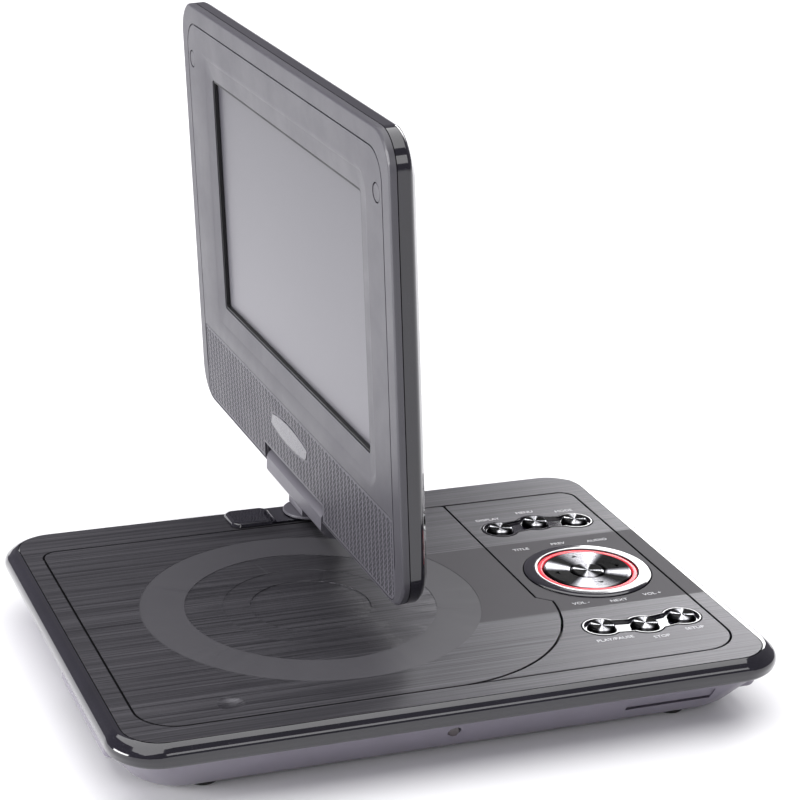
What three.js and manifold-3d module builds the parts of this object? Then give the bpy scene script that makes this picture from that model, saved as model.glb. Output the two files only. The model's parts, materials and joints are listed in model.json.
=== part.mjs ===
// A portable disc player: a flat base with a disc lid and a control panel, and a screen
// that swivels on a turret at the rear of the base and tilts on a shaft above it.
// Millimetres, +Z up, +X to the right, +Y to the rear.
// The origin is in the middle of the base's underside; the feet reach below it.
import * as THREE from "three";
import { mergeVertices } from "three/addons/utils/BufferGeometryUtils.js";
import Module from "manifold-3d";

const wasm = await Module();
wasm.setup();

// ---- driving dimensions ----

const gap = 0.3; // between pieces that touch
const play = 0.4; // round a piece that moves in a hole
const wall = 2; // of the two case shells
const panel_wall = 1.6; // of the deck panel, control panel and disc lid

const base_width = 236.4;
const base_depth = 180;
const base_height = 24; // underside to deck
const base_corner = 17;
const foot_height = 2;
const rim_height = 8; // of the gloss rim, deck to lip
const rim_side = 5.5; // deck edge to the widest part of the rim, left and right
const rim_front = 4; // the same at the front and rear

const well_front = 13; // rim to the front groove
const well_rear = 20.6; // rim to the rear groove
const well_side = 12.2; // rim to the side grooves
const groove = 0.8;
const dial_margin = 3.5; // dial to the control panel's long sides
const lid_bulge = 57; // radius of the disc lid's front right corner
const lid_bulge_step = 4.9; // by which the bulge passes the divider

const disc_radius = 60;
const disc_offset_x = 1; // from the middle of the disc lid
const disc_offset_y = 1.8;
const well_clearance = 1.5; // round the disc
const spindle_radius = 7.2;

const dial_offset_x = 0.9; // from the middle of the control panel
const dial_offset_y = -0.2;
const pad_radius = 16.2;
const light_ring_width = 1.5;
const dial_bezel_width = 4.9;
const ok_radius = 6;
const button_radius = 4.7;
const button_pitch = 15.4;
const button_row = 45.4; // dial centre to the outer buttons of a row
const button_arch = 2.4; // by which the middle button stands further out
const tray_lobe = 7;
const button_travel = 0.8;

const turret_inset = 12; // rear of the base to the turret centre
const turret_radius = 9.6;
const turret_stem = 5.2;
const cover_height = 1.7; // hinge cover above the deck
const cover_width = 64;
const cover_inner = 14.5; // turret centre to the raised ends of the hinge cover
const turret_height = 2.1; // above the deck
const barrel_clearance = 0.6; // turret to barrel
const barrel_radius = 6.6;
const barrel_length = 66;
const shaft_radius = 2;
const shaft_overlap = 6; // shaft inside each knuckle

const screen_width = 238.6;
const screen_height = 168;
const screen_corner = 13;
const screen_face = 6; // tilt axis to the screen's front face
const screen_lift = 0.6; // tilt axis to the screen's lower edge
const screen_back = 9.8; // tilt axis to the thickest part of the back
const bezel_wall = 2.7;
const window_side = 33.3; // screen's side edges to the window
const window_head = 26.4; // screen's upper edge to the window
const window_lift = 47.1; // screen's lower edge to the window
const ring_margin = 7; // light sloped frame round the window
const dish_margin = 14; // sloped dish round the window
const dish_shift = -3.5;
const chin_height = 33;
const notch_width = 68;
const rest_tilt = 3.6; // degrees that the screen leans forward
const rest_swivel = -90; // degrees from facing the front

// ---- places that follow from the driving dimensions ----

const deck = base_height;
const half_w = base_width / 2;
const half_d = base_depth / 2;
const lip = deck - rim_height;
const panel_under = deck - panel_wall;
const ledge_top = panel_under - gap;
const well = {
  x0: -half_w + well_side,
  x1: half_w - well_side,
  y0: -half_d + well_front,
  y1: half_d - well_rear,
};
const light_ring_radius = pad_radius + play + light_ring_width;
const dial_radius = light_ring_radius + gap + dial_bezel_width;
const control_width = 2 * (dial_radius + dial_margin);
const divider = well.x1 - control_width;
const disc_x = (well.x0 + divider) / 2 + disc_offset_x;
const disc_y = (well.y0 + well.y1) / 2 + disc_offset_y;
const dial_x = (divider + well.x1) / 2 + dial_offset_x;
const dial_y = (well.y0 + well.y1) / 2 + dial_offset_y;
const case_bottom = 0;
const floor_top = case_bottom + wall;
const turret_y = half_d - turret_inset;
const turret_top = deck + turret_height;
const axis_z = turret_top + barrel_clearance + barrel_radius;
const window_width = screen_width - 2 * window_side;
const window_height = screen_height - window_lift - window_head;
const notch_top = barrel_radius + 0.7;

// ---- shapes ----

// The outline of a rounded rectangle as points, the same number whatever its size.
function outline(x0, y0, x1, y1, r, steps = 4) {
  const radius = Math.max(0.05, Math.min(r, (x1 - x0) / 2 - 0.01, (y1 - y0) / 2 - 0.01));
  const corners = [
    [x1 - radius, y0 + radius, -Math.PI / 2],
    [x1 - radius, y1 - radius, 0],
    [x0 + radius, y1 - radius, Math.PI / 2],
    [x0 + radius, y0 + radius, Math.PI],
  ];
  const points = [];
  for (const [cx, cy, start] of corners) {
    for (let i = 0; i <= steps; i += 1) {
      const a = start + (i / steps) * (Math.PI / 2);
      points.push(new THREE.Vector2(cx + radius * Math.cos(a), cy + radius * Math.sin(a)));
    }
  }
  return points;
}

// A closed skin over a stack of convex outlines, each at its own height.
function loft(levels, steps) {
  const rings = levels.map((l) => outline(l.x0, l.y0, l.x1, l.y1, l.r, steps));
  const count = rings[0].length;
  const positions = [];
  const index = [];
  rings.forEach((ring, k) => ring.forEach((p) => positions.push(p.x, p.y, levels[k].z)));
  for (let k = 0; k + 1 < rings.length; k += 1) {
    for (let i = 0; i < count; i += 1) {
      const j = (i + 1) % count;
      const a = k * count + i;
      const b = k * count + j;
      index.push(a, b, a + count, b, b + count, a + count);
    }
  }
  for (const k of [0, rings.length - 1]) {
    const level = levels[k];
    const centre = positions.length / 3;
    positions.push((level.x0 + level.x1) / 2, (level.y0 + level.y1) / 2, level.z);
    for (let i = 0; i < count; i += 1) {
      const j = (i + 1) % count;
      const a = k * count + i;
      const b = k * count + j;
      if (k === 0) index.push(centre, b, a);
      else index.push(centre, a, b);
    }
  }
  const geometry = new THREE.BufferGeometry();
  geometry.setAttribute("position", new THREE.Float32BufferAttribute(positions, 3));
  geometry.setIndex(index);
  return geometry;
}

// A loft level: the outline of a rectangle, moved in from each side.
function level(z, box, inset, r) {
  const side = (name) => (typeof inset === "number" ? inset : inset[name]);
  return {
    z,
    x0: box.x0 + side("left"),
    x1: box.x1 - side("right"),
    y0: box.y0 + side("front"),
    y1: box.y1 - side("rear"),
    r,
  };
}

function prism(shape, z0, z1, curveSegments = 8) {
  const geometry = new THREE.ExtrudeGeometry(shape, { depth: z1 - z0, bevelEnabled: false, curveSegments });
  return geometry.translate(0, 0, z0);
}

function plate(box, inset, r, z0, z1, steps = 4) {
  return loft([level(z0, box, inset, r), level(z1, box, inset, r)], steps);
}

function block(x0, x1, y0, y1, z0, z1) {
  const geometry = new THREE.BoxGeometry(x1 - x0, y1 - y0, z1 - z0);
  return geometry.translate((x0 + x1) / 2, (y0 + y1) / 2, (z0 + z1) / 2);
}

// A turned shape on a vertical axis, from [radius, height] points that start and end on the axis.
function turned(points, x, y, segments = 12) {
  const profile = points.map(([r, z]) => new THREE.Vector2(r, z));
  const geometry = new THREE.LatheGeometry(profile, segments);
  return geometry.rotateX(Math.PI / 2).translate(x, y, 0);
}

function rod(x, y, radius, z0, z1, segments = 12) {
  return turned([[0, z0], [radius, z0], [radius, z1], [0, z1]], x, y, segments);
}

// A rod that lies along X.
function axle(x0, x1, y, z, radius, segments = 12) {
  const geometry = rod(0, 0, radius, 0, x1 - x0, segments);
  return geometry.rotateY(Math.PI / 2).translate(x0, y, z);
}

// ---- joins and cuts ----

function solid(geometry) {
  const bare = geometry.index ? geometry.toNonIndexed() : geometry.clone();
  bare.deleteAttribute("normal");
  bare.deleteAttribute("uv");
  const merged = mergeVertices(bare, 1e-4);
  return new wasm.Manifold(
    new wasm.Mesh({
      numProp: 3,
      vertProperties: Float32Array.from(merged.attributes.position.array),
      triVerts: Uint32Array.from(merged.index.array),
    }),
  );
}

function cut(from, ...tools) {
  return tools.reduce((left, tool) => left.subtract(tool), from);
}

function join(first, ...others) {
  return others.reduce((sum, other) => sum.add(other), first);
}

function geometryOf(made) {
  const mesh = made.getMesh();
  const geometry = new THREE.BufferGeometry();
  geometry.setAttribute("position", new THREE.BufferAttribute(Float32Array.from(mesh.vertProperties), 3));
  geometry.setIndex(new THREE.BufferAttribute(Uint32Array.from(mesh.triVerts), 1));
  const loose = geometry.toNonIndexed();
  loose.computeVertexNormals();
  return loose;
}

function piece(name, made, color, roughness, metalness = 0) {
  const material = new THREE.MeshStandardMaterial({ color, roughness, metalness });
  const mesh = new THREE.Mesh(geometryOf(made), material);
  mesh.name = name;
  return mesh;
}

const player = new THREE.Group();

// ---- lower case ----

const base_box = { x0: -half_w, x1: half_w, y0: -half_d, y1: half_d };
const case_top = lip - gap;
const case_rise = case_top - case_bottom;
const shell_levels = [
  { rise: 0, side: 17, front: 19.5, rear: 15, r: 8 },
  { rise: 0.05, side: 13.5, front: 16.5, rear: 12, r: 12 },
  { rise: 0.2, side: 10.5, front: 13.5, rear: 9.5, r: 15 },
  { rise: 0.6, side: 6, front: 8.5, rear: 5.5, r: 17 },
  { rise: 1, side: 2.8, front: 3.8, rear: 2.8, r: base_corner - 2 },
];

function shell(thickness, bottom, top) {
  const levels = shell_levels.map((l) => {
    const inset = { left: l.side, right: l.side, front: l.front, rear: l.rear };
    for (const side of Object.keys(inset)) inset[side] += thickness;
    return level(bottom + l.rise * (top - bottom), base_box, inset, l.r);
  });
  return solid(loft(levels));
}

const flank_x = half_w - 4; // outer face of the port walls
const flank_bottom = case_bottom + 5.7;
const flank_reach = 30; // from the outer face inwards
const flank_end = half_d - 16.3;
const flanks = [
  { x0: -flank_x, x1: -flank_x + flank_reach, y0: -flank_end + 14.5, y1: 5 },
  { x0: flank_x - flank_reach, x1: flank_x, y0: -flank_end, y1: flank_end },
];
const port_z = case_top - 4.1;
const dc_y = 48;
const av_y = 30;
const phones_y = 14;
const usb_y = -6;
const switch_y = -34;
const usb_width = 13.2;
const usb_height = 5.8;
const switch_length = 11;
const switch_height = 4;
const switch_travel = 3;
const jack_radius = 3;
const hatch_x = 76;
const hatch_width = 32;
const screw_x = half_w - 12;
const screw_y = half_d - 32;
const screw_head = 2.6;
const screw_shank = 1.2;
const boss_radius = 3.6;
const screw_seat = case_bottom + 6.8; // top of the screw pockets
const boss_top = screw_seat + 3.7;
const foot_x = 84;
const foot_y = 66;
const foot_radius = 5;
const foot_stem = 1.8;
const chassis_bottom = floor_top + 1.5;
const corners = [[-1, -1], [1, -1], [-1, 1], [1, 1]];
const window_x = -3;
const window_radius = 2;

const shell_outer = shell(0, case_bottom, case_top);
let lower_case = shell_outer;
let case_room = shell(wall, floor_top, case_top + 0.5);
for (const flank of flanks) {
  lower_case = join(lower_case, solid(plate(flank, 0, 4, flank_bottom, case_top)));
  case_room = join(case_room, solid(plate(flank, wall, 3, flank_bottom + wall, case_top + 1)));
}
lower_case = cut(lower_case, case_room);
for (const [sx, sy] of corners) {
  const x = sx * screw_x;
  const y = sy * screw_y;
  lower_case = join(lower_case, solid(rod(x, y, boss_radius, floor_top - 1, boss_top)).intersect(shell_outer));
  lower_case = cut(
    lower_case,
    solid(rod(x, y, screw_head + gap, -1, screw_seat)),
    solid(rod(x, y, screw_shank + gap, screw_seat - 1, boss_top + 1, 12)),
    solid(rod(sx * foot_x, sy * foot_y, foot_stem + gap, -1, floor_top + 2, 12)),
  );
}

// Four posts carry the disc drive.
const drive_half_x = 52;
const drive_half_y = 31;
const drive_x = disc_x + 34;
for (const [sx, sy] of corners) {
  const x = drive_x + sx * (drive_half_x - 5);
  const y = disc_y + sy * (drive_half_y - 5);
  lower_case = join(lower_case, solid(rod(x, y, 3, floor_top - 0.5, chassis_bottom - gap, 12)));
}

// Four pillars carry the disc tray.
const tray_top = ledge_top - 0.1;
const tray_plate = 1.6;
const tray_floor_top = deck - 7.5;
const tray_floor = 1.5;
const tray_corner_x = [well.x0 + 6, divider - 8];
const tray_corner_y = [well.y0 + 6, well.y1 - 5];
for (const x of tray_corner_x) {
  for (const y of tray_corner_y) {
    const pillar = solid(rod(x, y, 3, floor_top - 0.5, tray_top - tray_plate - gap, 12));
    lower_case = join(lower_case, pillar.intersect(shell(0, case_bottom, tray_top)));
  }
}

function jackHole(y, radius) {
  return solid(axle(flank_x - wall - 1, flank_x + 1, y, port_z, radius));
}

const front_wall = -half_d;
const hatch_z = case_bottom + 0.66 * case_rise;
const hatch_rise = 2.2;
const hatch_slot = 0.8;
const hatch_depth = 0.7;

// A block that reaches through the front wall, as wide as the finger recess.
function hatchBlock(z0, z1) {
  const half = hatch_width / 2;
  return solid(block(hatch_x - half, hatch_x + half, front_wall, front_wall + 20, z0, z1));
}

lower_case = cut(
  lower_case,
  jackHole(dc_y, jack_radius + gap),
  jackHole(av_y, jack_radius + gap),
  jackHole(phones_y, jack_radius + gap),
  solid(
    block(
      flank_x - wall - 1,
      flank_x + 1,
      usb_y - usb_width / 2 - gap,
      usb_y + usb_width / 2 + gap,
      port_z - usb_height / 2 - gap,
      port_z + usb_height / 2 + gap,
    ),
  ),
  solid(
    block(
      flank_x - wall - 1,
      flank_x + 1,
      switch_y - switch_length / 2 - play,
      switch_y + switch_length / 2 + switch_travel + play,
      port_z - switch_height / 2 - play,
      port_z + switch_height / 2 + play,
    ),
  ),
  cut(hatchBlock(hatch_z - hatch_rise, hatch_z + hatch_rise), shell(hatch_depth, case_bottom, case_top)),
  hatchBlock(hatch_z - hatch_rise - hatch_slot, hatch_z - hatch_rise + 0.1),
  solid(rod(0, 0, window_radius + gap, 0, 30, 12).rotateX(Math.PI / 2).translate(window_x, front_wall + 25, hatch_z)),
);

// Vent slots through the floor, under the battery and the main board.
for (const x of [-76, 88]) {
  for (let i = -3; i <= 3; i += 1) {
    lower_case = cut(lower_case, solid(block(x - 8, x + 8, i * 6 - 1, i * 6 + 1, -1, floor_top + 1)));
  }
}
player.add(piece("lower_case", lower_case, 0x6b6670, 0.55));

const window_body = solid(
  rod(0, 0, window_radius, 0, 5, 12).rotateX(Math.PI / 2).translate(window_x, front_wall + 12.8, hatch_z),
);
player.add(piece("infrared_window", window_body, 0x17121a, 0.1));

// ---- feet and case screws ----

corners.forEach(([sx, sy], i) => {
  const x = sx * foot_x;
  const y = sy * foot_y;
  const pad = turned(
    [
      [0, -foot_height],
      [foot_radius - 0.7, -foot_height],
      [foot_radius, 0.7 - foot_height],
      [foot_radius, -gap],
      [foot_stem, -gap],
      [foot_stem, floor_top + 1.2],
      [0, floor_top + 1.2],
    ],
    x,
    y,
  );
  player.add(piece(`foot_${i + 1}`, solid(pad), 0x1c1c1e, 0.9));
});

corners.forEach(([sx, sy], i) => {
  const top = screw_seat - gap;
  const screw = turned(
    [
      [0, top - 0.7],
      [0.8, top - 0.7],
      [0.8, top - 1.4],
      [screw_head, top - 1.4],
      [screw_head, top],
      [screw_shank, top],
      [screw_shank, lip],
      [0, lip],
    ],
    sx * screw_x,
    sy * screw_y,
    12,
  );
  player.add(piece(`case_screw_${i + 1}`, solid(screw), 0x8a8a8e, 0.35, 1));
});

// ---- upper case: gloss rim, ledge for the deck panel, bridge for the turret ----

const rim_levels = [
  level(lip, base_box, 1.8, base_corner - 2),
  level(lip + 1.2, base_box, 0.7, base_corner - 1),
  level(lip + 3, base_box, 0, base_corner),
  level(deck - 3, base_box, 0.5, base_corner),
  level(deck - 1.4, base_box, 1.6, base_corner),
  level(deck - 0.5, base_box, 3, base_corner),
  level(deck - 0.1, base_box, 3.7, base_corner - 2),
];
const deck_inset = { left: rim_side, right: rim_side, front: rim_front, rear: rim_front };
const ledge_wall = 1.6;
const ledge_under = ledge_top - ledge_wall;
const ledge_inset = { left: 9.2, right: 9.2, front: 9.2, rear: 9.2 };
const bridge_half = 30;
const stem_hole = turret_stem + play;
const seat_inset = {};
for (const side of Object.keys(deck_inset)) seat_inset[side] = deck_inset[side] - gap;
let upper_case = cut(
  solid(loft(rim_levels, 6)),
  solid(plate(base_box, seat_inset, base_corner - 4, ledge_top, deck + 1, 6)),
  solid(plate(base_box, 1.8 + wall, base_corner - 4, lip - 1, ledge_under, 4)),
  solid(plate(base_box, ledge_inset, base_corner - 8, lip - 1, deck + 1, 4)),
);
const bridge = solid(
  block(-bridge_half, bridge_half, well.y1 + 1.6, half_d - wall - 1.2, ledge_under - 2.6, ledge_top),
);
upper_case = join(upper_case, bridge);
upper_case = cut(upper_case, solid(rod(0, turret_y, stem_hole, lip, deck + 1)));
for (const [sx, sy] of corners) {
  const x = sx * screw_x;
  const y = sy * screw_y;
  upper_case = join(upper_case, solid(rod(x, y, boss_radius, boss_top + gap, ledge_top, 12)));
  upper_case = cut(upper_case, solid(rod(x, y, screw_shank + gap, boss_top, lip + 2, 12)));
}
player.add(piece("upper_case", upper_case, 0x0c0c10, 0.08));

// ---- deck panel ----

const well_corner = 14;
const rear_corner = 6;

// The space inside the grooves: wide corners at the front, tight ones at the rear.
function wellBody(box, inset, z0, z1) {
  const rear = { ...box, y0: (box.y0 + box.y1) / 2 };
  return join(
    solid(plate(box, inset, well_corner, z0, z1, 6)),
    solid(plate(rear, inset, rear_corner, z0, z1, 3)),
  );
}

const deck_panel = cut(
  solid(plate(base_box, deck_inset, base_corner - 4, panel_under, deck, 6)),
  wellBody(well, -groove / 2, panel_under - 1, deck + 1),
  solid(rod(0, turret_y, stem_hole, panel_under - 1, deck + 1)),
);
player.add(piece("deck_panel", deck_panel, 0x2e2e33, 0.4, 0.4));

// ---- disc lid and control panel share one dividing line ----

const bulge_x = divider + lid_bulge_step - lid_bulge;
const bulge_y = well.y0 + lid_bulge;

// The outline of the disc lid, moved in by an inset.
function lidShape(inset) {
  const left = well.x0 + inset;
  const right = divider - inset;
  const front = well.y0 + inset;
  const rear = well.y1 - inset;
  const r = well_corner - inset;
  const rear_r = rear_corner - inset;
  const bulge = lid_bulge - inset;
  const step = Math.asin(4.4 / bulge);
  const shape = new THREE.Shape();
  shape.moveTo(left + r, front);
  shape.lineTo(bulge_x, front);
  shape.absarc(bulge_x, bulge_y, bulge, -Math.PI / 2, -step, false);
  shape.lineTo(right, bulge_y - inset);
  shape.lineTo(right, rear - rear_r);
  shape.absarc(right - rear_r, rear - rear_r, rear_r, 0, Math.PI / 2, false);
  shape.lineTo(left + rear_r, rear);
  shape.absarc(left + rear_r, rear - rear_r, rear_r, Math.PI / 2, Math.PI, false);
  shape.lineTo(left, front + r);
  shape.absarc(left + r, front + r, r, Math.PI, 1.5 * Math.PI, false);
  return shape;
}

const lid_curve = 10;
const dimple_x = well.x0 + 31.3;
const dimple_y = well.y0 + 10.1;
const hook_x = dimple_x;
const hook_y = well.y0 + 5;
const lid_ear_x = [well.x0 + 24, divider - 24];
const lid_ear_half = 4;
const lid_pin = 1.1;
const lid_axis_y = well.y1 - 3;
const lid_axis_z = panel_under - 2.4;
const step_depth = 0.35;

function ringStep(radius, depth) {
  return solid(rod(disc_x, disc_y, radius, deck - depth, deck + 1, 32));
}

let disc_lid = cut(
  solid(prism(lidShape(groove / 2), panel_under, deck, lid_curve)),
  ringStep(30.9, step_depth),
  ringStep(21.3, 2 * step_depth),
  solid(
    turned([[0, deck - 0.9], [2.6, deck - 0.7], [5, deck + 0.01], [5, deck + 1], [0, deck + 1]], dimple_x, dimple_y),
  ),
);
for (const x of lid_ear_x) {
  const ear = block(
    x - lid_ear_half,
    x + lid_ear_half,
    lid_axis_y - 2,
    lid_axis_y + 2,
    lid_axis_z - 1.8,
    panel_under + 0.5,
  );
  const pin = axle(x - lid_ear_half - 2.5, x + lid_ear_half + 2.5, lid_axis_y, lid_axis_z, lid_pin, 12);
  disc_lid = join(disc_lid, solid(ear), solid(pin));
}
player.add(piece("disc_lid", disc_lid, 0x34343a, 0.4, 0.4));

const hook_shape = new THREE.Shape();
hook_shape.moveTo(0, panel_under - gap);
hook_shape.lineTo(0, panel_under - 6);
hook_shape.lineTo(-2.2, panel_under - 6);
hook_shape.lineTo(-2.2, panel_under - 5.2);
hook_shape.lineTo(-1.2, panel_under - 4);
hook_shape.lineTo(-1.2, panel_under - gap);
const hook_geometry = new THREE.ExtrudeGeometry(hook_shape, { depth: 7, bevelEnabled: false });
hook_geometry.rotateX(Math.PI / 2).rotateZ(Math.PI / 2).translate(hook_x - 3.5, hook_y + 1, 0);
player.add(piece("lid_latch_hook", solid(hook_geometry), 0x222226, 0.6));

const control_box = { x0: divider - 60, x1: well.x1, y0: well.y0, y1: well.y1 };
const tray_points = [
  [-button_pitch, 0],
  [0, button_arch],
  [button_pitch, 0],
];

// Three overlapping rounds in a slight arch, sy = 1 for the rear row and -1 for the front row.
function trayBody(sy, radius, z0, z1) {
  const rounds = tray_points.map(([x, y]) =>
    solid(rod(dial_x + x, dial_y + sy * (button_row + y), radius, z0, z1, 20)),
  );
  const bar = (a, b) => {
    const [ax, ay] = tray_points[a];
    const [bx, by] = tray_points[b];
    const angle = Math.atan2(sy * (by - ay), bx - ax);
    const geometry = block(0, Math.hypot(bx - ax, by - ay), -radius * 0.72, radius * 0.72, z0, z1);
    return solid(geometry.rotateZ(angle).translate(dial_x + ax, dial_y + sy * (button_row + ay), 0));
  };
  return join(rounds[0], rounds[1], rounds[2], bar(0, 1), bar(1, 2));
}

let control_panel = cut(
  wellBody(control_box, groove / 2, panel_under, deck),
  solid(prism(lidShape(-groove / 2), panel_under - 1, deck + 1, lid_curve)),
  solid(block(divider - 80, divider + groove / 2, bulge_y, well.y1 + 1, panel_under - 1, deck + 1)),
  solid(rod(dial_x, dial_y, dial_radius + gap, panel_under - 1, deck + 1, 32)),
  trayBody(1, tray_lobe + gap, panel_under - 1, deck + 1),
  trayBody(-1, tray_lobe + gap, panel_under - 1, deck + 1),
);
player.add(piece("control_panel", control_panel, 0x303035, 0.4, 0.4));

// ---- buttons ----

const tray_floor_z = deck - 2.6;
const board_top = deck - 6;
const button_names = [
  ["display_button", "menu_button", "mode_button"],
  ["play_pause_button", "stop_button", "setup_button"],
];

[1, -1].forEach((sy, row) => {
  let tray = join(
    trayBody(sy, tray_lobe, tray_floor_z, deck + 0.1),
    trayBody(sy, tray_lobe - 1, tray_floor_z - 1.2, tray_floor_z + 0.1),
  );
  tray = cut(tray, trayBody(sy, tray_lobe - 0.9, deck - 0.9, deck + 1));
  tray_points.forEach(([x, y]) => {
    tray = cut(
      tray,
      solid(rod(dial_x + x, dial_y + sy * (button_row + y), button_radius + play, tray_floor_z - 2, deck + 1, 20)),
    );
  });
  player.add(piece(row === 0 ? "button_tray_rear" : "button_tray_front", tray, 0x0b0b0e, 0.08));

  tray_points.forEach(([x, y], i) => {
    const button = turned(
      [
        [0, board_top + button_travel + gap],
        [1.6, board_top + button_travel + gap],
        [1.6, tray_floor_z - 1],
        [button_radius, tray_floor_z - 1],
        [button_radius, deck + 0.6],
        [button_radius - 0.6, deck + 1.1],
        [button_radius - 1.2, deck + 1.1],
        [0, deck + 0.7],
      ],
      dial_x + x,
      dial_y + sy * (button_row + y),
      20,
    );
    player.add(piece(button_names[row][i], solid(button), 0x3a3a3e, 0.25, 0.9));
  });
});

// ---- dial: bezel, light ring, navigation pad and OK button ----

function ringBody(outer, inner, z0, z1, top_inset) {
  const profile = [
    [inner, z0],
    [outer, z0],
    [outer, z1 - top_inset],
    [outer - top_inset, z1],
    [inner, z1],
    [inner, z0],
  ];
  return solid(turned(profile, dial_x, dial_y, 32));
}

const pad_floor = deck - 2.4;
player.add(
  piece(
    "dial_bezel",
    join(
      ringBody(dial_radius, light_ring_radius + gap, deck - 1.4, deck + 0.9, 1.3),
      ringBody(dial_radius, pad_radius + play, pad_floor - 1, deck - 1.2, 0.1),
    ),
    0x0c0c0f,
    0.07,
  ),
);
player.add(
  piece(
    "dial_light_ring",
    ringBody(light_ring_radius, pad_radius + play, deck - 0.9, deck + 0.5, 0.3),
    0xe02030,
    0.3,
  ),
);

const pad_top = deck + 0.9;
let navigation_pad = solid(
  turned(
    [
      [ok_radius + play, pad_floor],
      [pad_radius - 0.5, pad_floor],
      [pad_radius - 0.2, deck],
      [pad_radius - 0.2, pad_top - 0.6],
      [pad_radius - 0.8, pad_top],
      [ok_radius + 1.4, pad_top - 0.5],
      [ok_radius + play, pad_top - 0.9],
      [ok_radius + play, pad_floor],
    ],
    dial_x,
    dial_y,
    32,
  ),
);
for (let i = 0; i < 4; i += 1) {
  const arrow = new THREE.Shape();
  arrow.moveTo(12.6, 0);
  arrow.lineTo(10.9, 1.3);
  arrow.lineTo(10.9, -1.3);
  const mark = prism(arrow, pad_top - 0.5, pad_top + 1).rotateZ((i * Math.PI) / 2);
  navigation_pad = cut(navigation_pad, solid(mark.translate(dial_x, dial_y, 0)));
}
player.add(piece("navigation_pad", navigation_pad, 0x45454a, 0.22, 0.95));

const ok_button = turned(
  [
    [0, board_top + button_travel + gap],
    [1.8, board_top + button_travel + gap],
    [1.8, pad_floor],
    [ok_radius, pad_floor],
    [ok_radius, pad_top - 0.7],
    [ok_radius - 0.8, pad_top - 0.2],
    [0, pad_top - 0.5],
  ],
  dial_x,
  dial_y,
  20,
);
player.add(piece("ok_button", solid(ok_button), 0x3c3c40, 0.22, 0.95));

const board_wall = 1.6;
const key_board = solid(
  block(
    divider + 6,
    screw_x - boss_radius - 1,
    dial_y - 58,
    dial_y + 58,
    board_top - board_wall,
    board_top,
  ),
);
player.add(piece("key_board", key_board, 0x1d5a34, 0.6));

// ---- disc tray ----

const well_radius = disc_radius + well_clearance;
const pickup_rest = 27; // lens to spindle at rest
const pickup_travel = 30;
const lens_radius = 4;
const slot_half = lens_radius + 3;
const tray_box = { x0: well.x0 - 2.4, x1: divider - 1, y0: well.y0 - 2.4, y1: well.y1 + 1.2 };
let disc_tray = join(
  cut(
    solid(plate(tray_box, 0, 8, tray_top - tray_plate, tray_top)),
    solid(rod(disc_x, disc_y, well_radius, 0, deck, 36)),
  ),
  cut(
    solid(rod(disc_x, disc_y, well_radius + tray_floor, tray_floor_top - tray_floor, tray_top - 0.2, 36)),
    solid(rod(disc_x, disc_y, well_radius, tray_floor_top, deck, 36)),
  ),
);
disc_tray = cut(
  disc_tray,
  solid(rod(disc_x, disc_y, 11, 0, deck)),
  solid(
    block(
      disc_x + pickup_rest - slot_half + 1,
      disc_x + pickup_rest + pickup_travel + lens_radius + 0.4,
      disc_y - slot_half,
      disc_y + slot_half,
      0,
      deck,
    ),
  ),
  solid(block(hook_x - 5, hook_x + 5, hook_y - 3, hook_y + 3, 0, deck)),
);
for (const x of lid_ear_x) {
  disc_tray = cut(
    disc_tray,
    solid(
      block(
        x - lid_ear_half - 3.2,
        x + lid_ear_half + 3.2,
        lid_axis_y - 3,
        lid_axis_y + 3,
        tray_top - 3,
        tray_top + 1,
      ),
    ),
  );
}
for (const [sx, sy] of corners) {
  disc_tray = cut(disc_tray, solid(rod(sx * screw_x, sy * screw_y, boss_radius + play, 0, deck)));
}
player.add(piece("disc_tray", disc_tray, 0x232327, 0.6));

// ---- disc drive ----

const rail_z = chassis_bottom + 6.5;
const rail_radius = 1.5;
const rail_y = [disc_y - 19, disc_y + 15];
const screw_line = disc_y + 23;
const motor_radius = 10;
const near_bracket = disc_x + motor_radius + gap;
const far_bracket = near_bracket + 72;
const bracket = 1.6;
const chassis_wall = 1.5;
const chassis_top = chassis_bottom + chassis_wall;
const chassis_box = {
  x0: drive_x - drive_half_x,
  x1: drive_x + drive_half_x,
  y0: disc_y - drive_half_y,
  y1: disc_y + drive_half_y,
};
let drive_chassis = cut(
  solid(plate(chassis_box, 0, 4, chassis_bottom, chassis_top)),
  solid(
    block(
      near_bracket + 8,
      far_bracket - 8,
      disc_y - 12,
      disc_y + 9,
      chassis_bottom - 1,
      chassis_top + 1,
    ),
  ),
);
for (const x of [near_bracket, far_bracket]) {
  drive_chassis = join(
    drive_chassis,
    solid(block(x, x + bracket, chassis_box.y0 + 4, chassis_box.y1 - 1.5, chassis_top - 0.5, rail_z + 3.5)),
  );
}
for (const y of [...rail_y, screw_line]) {
  const reach = y === screw_line ? far_bracket + 4 : far_bracket + bracket / 2;
  drive_chassis = cut(
    drive_chassis,
    solid(axle(near_bracket + bracket / 2, reach, y, rail_z, rail_radius + gap)),
  );
}
player.add(piece("drive_chassis", drive_chassis, 0x9a9aa0, 0.4, 1));

rail_y.forEach((y, i) => {
  const rail = axle(near_bracket + bracket / 2 + gap, far_bracket + bracket / 2 - gap, y, rail_z, rail_radius);
  player.add(piece(`guide_rail_${i + 1}`, solid(rail), 0xc8c8cc, 0.2, 1));
});

const lead_screw = solid(
  axle(near_bracket + bracket / 2 + gap, far_bracket + bracket + 2, screw_line, rail_z, rail_radius),
);
player.add(piece("lead_screw", lead_screw, 0xb4b4b8, 0.25, 1));

const feed_x = far_bracket + bracket + 2 + gap;
const feed_motor = solid(axle(feed_x, feed_x + 12, screw_line, rail_z, 5.4, 16));
player.add(piece("feed_motor", feed_motor, 0xa8a8ac, 0.3, 1));

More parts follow.
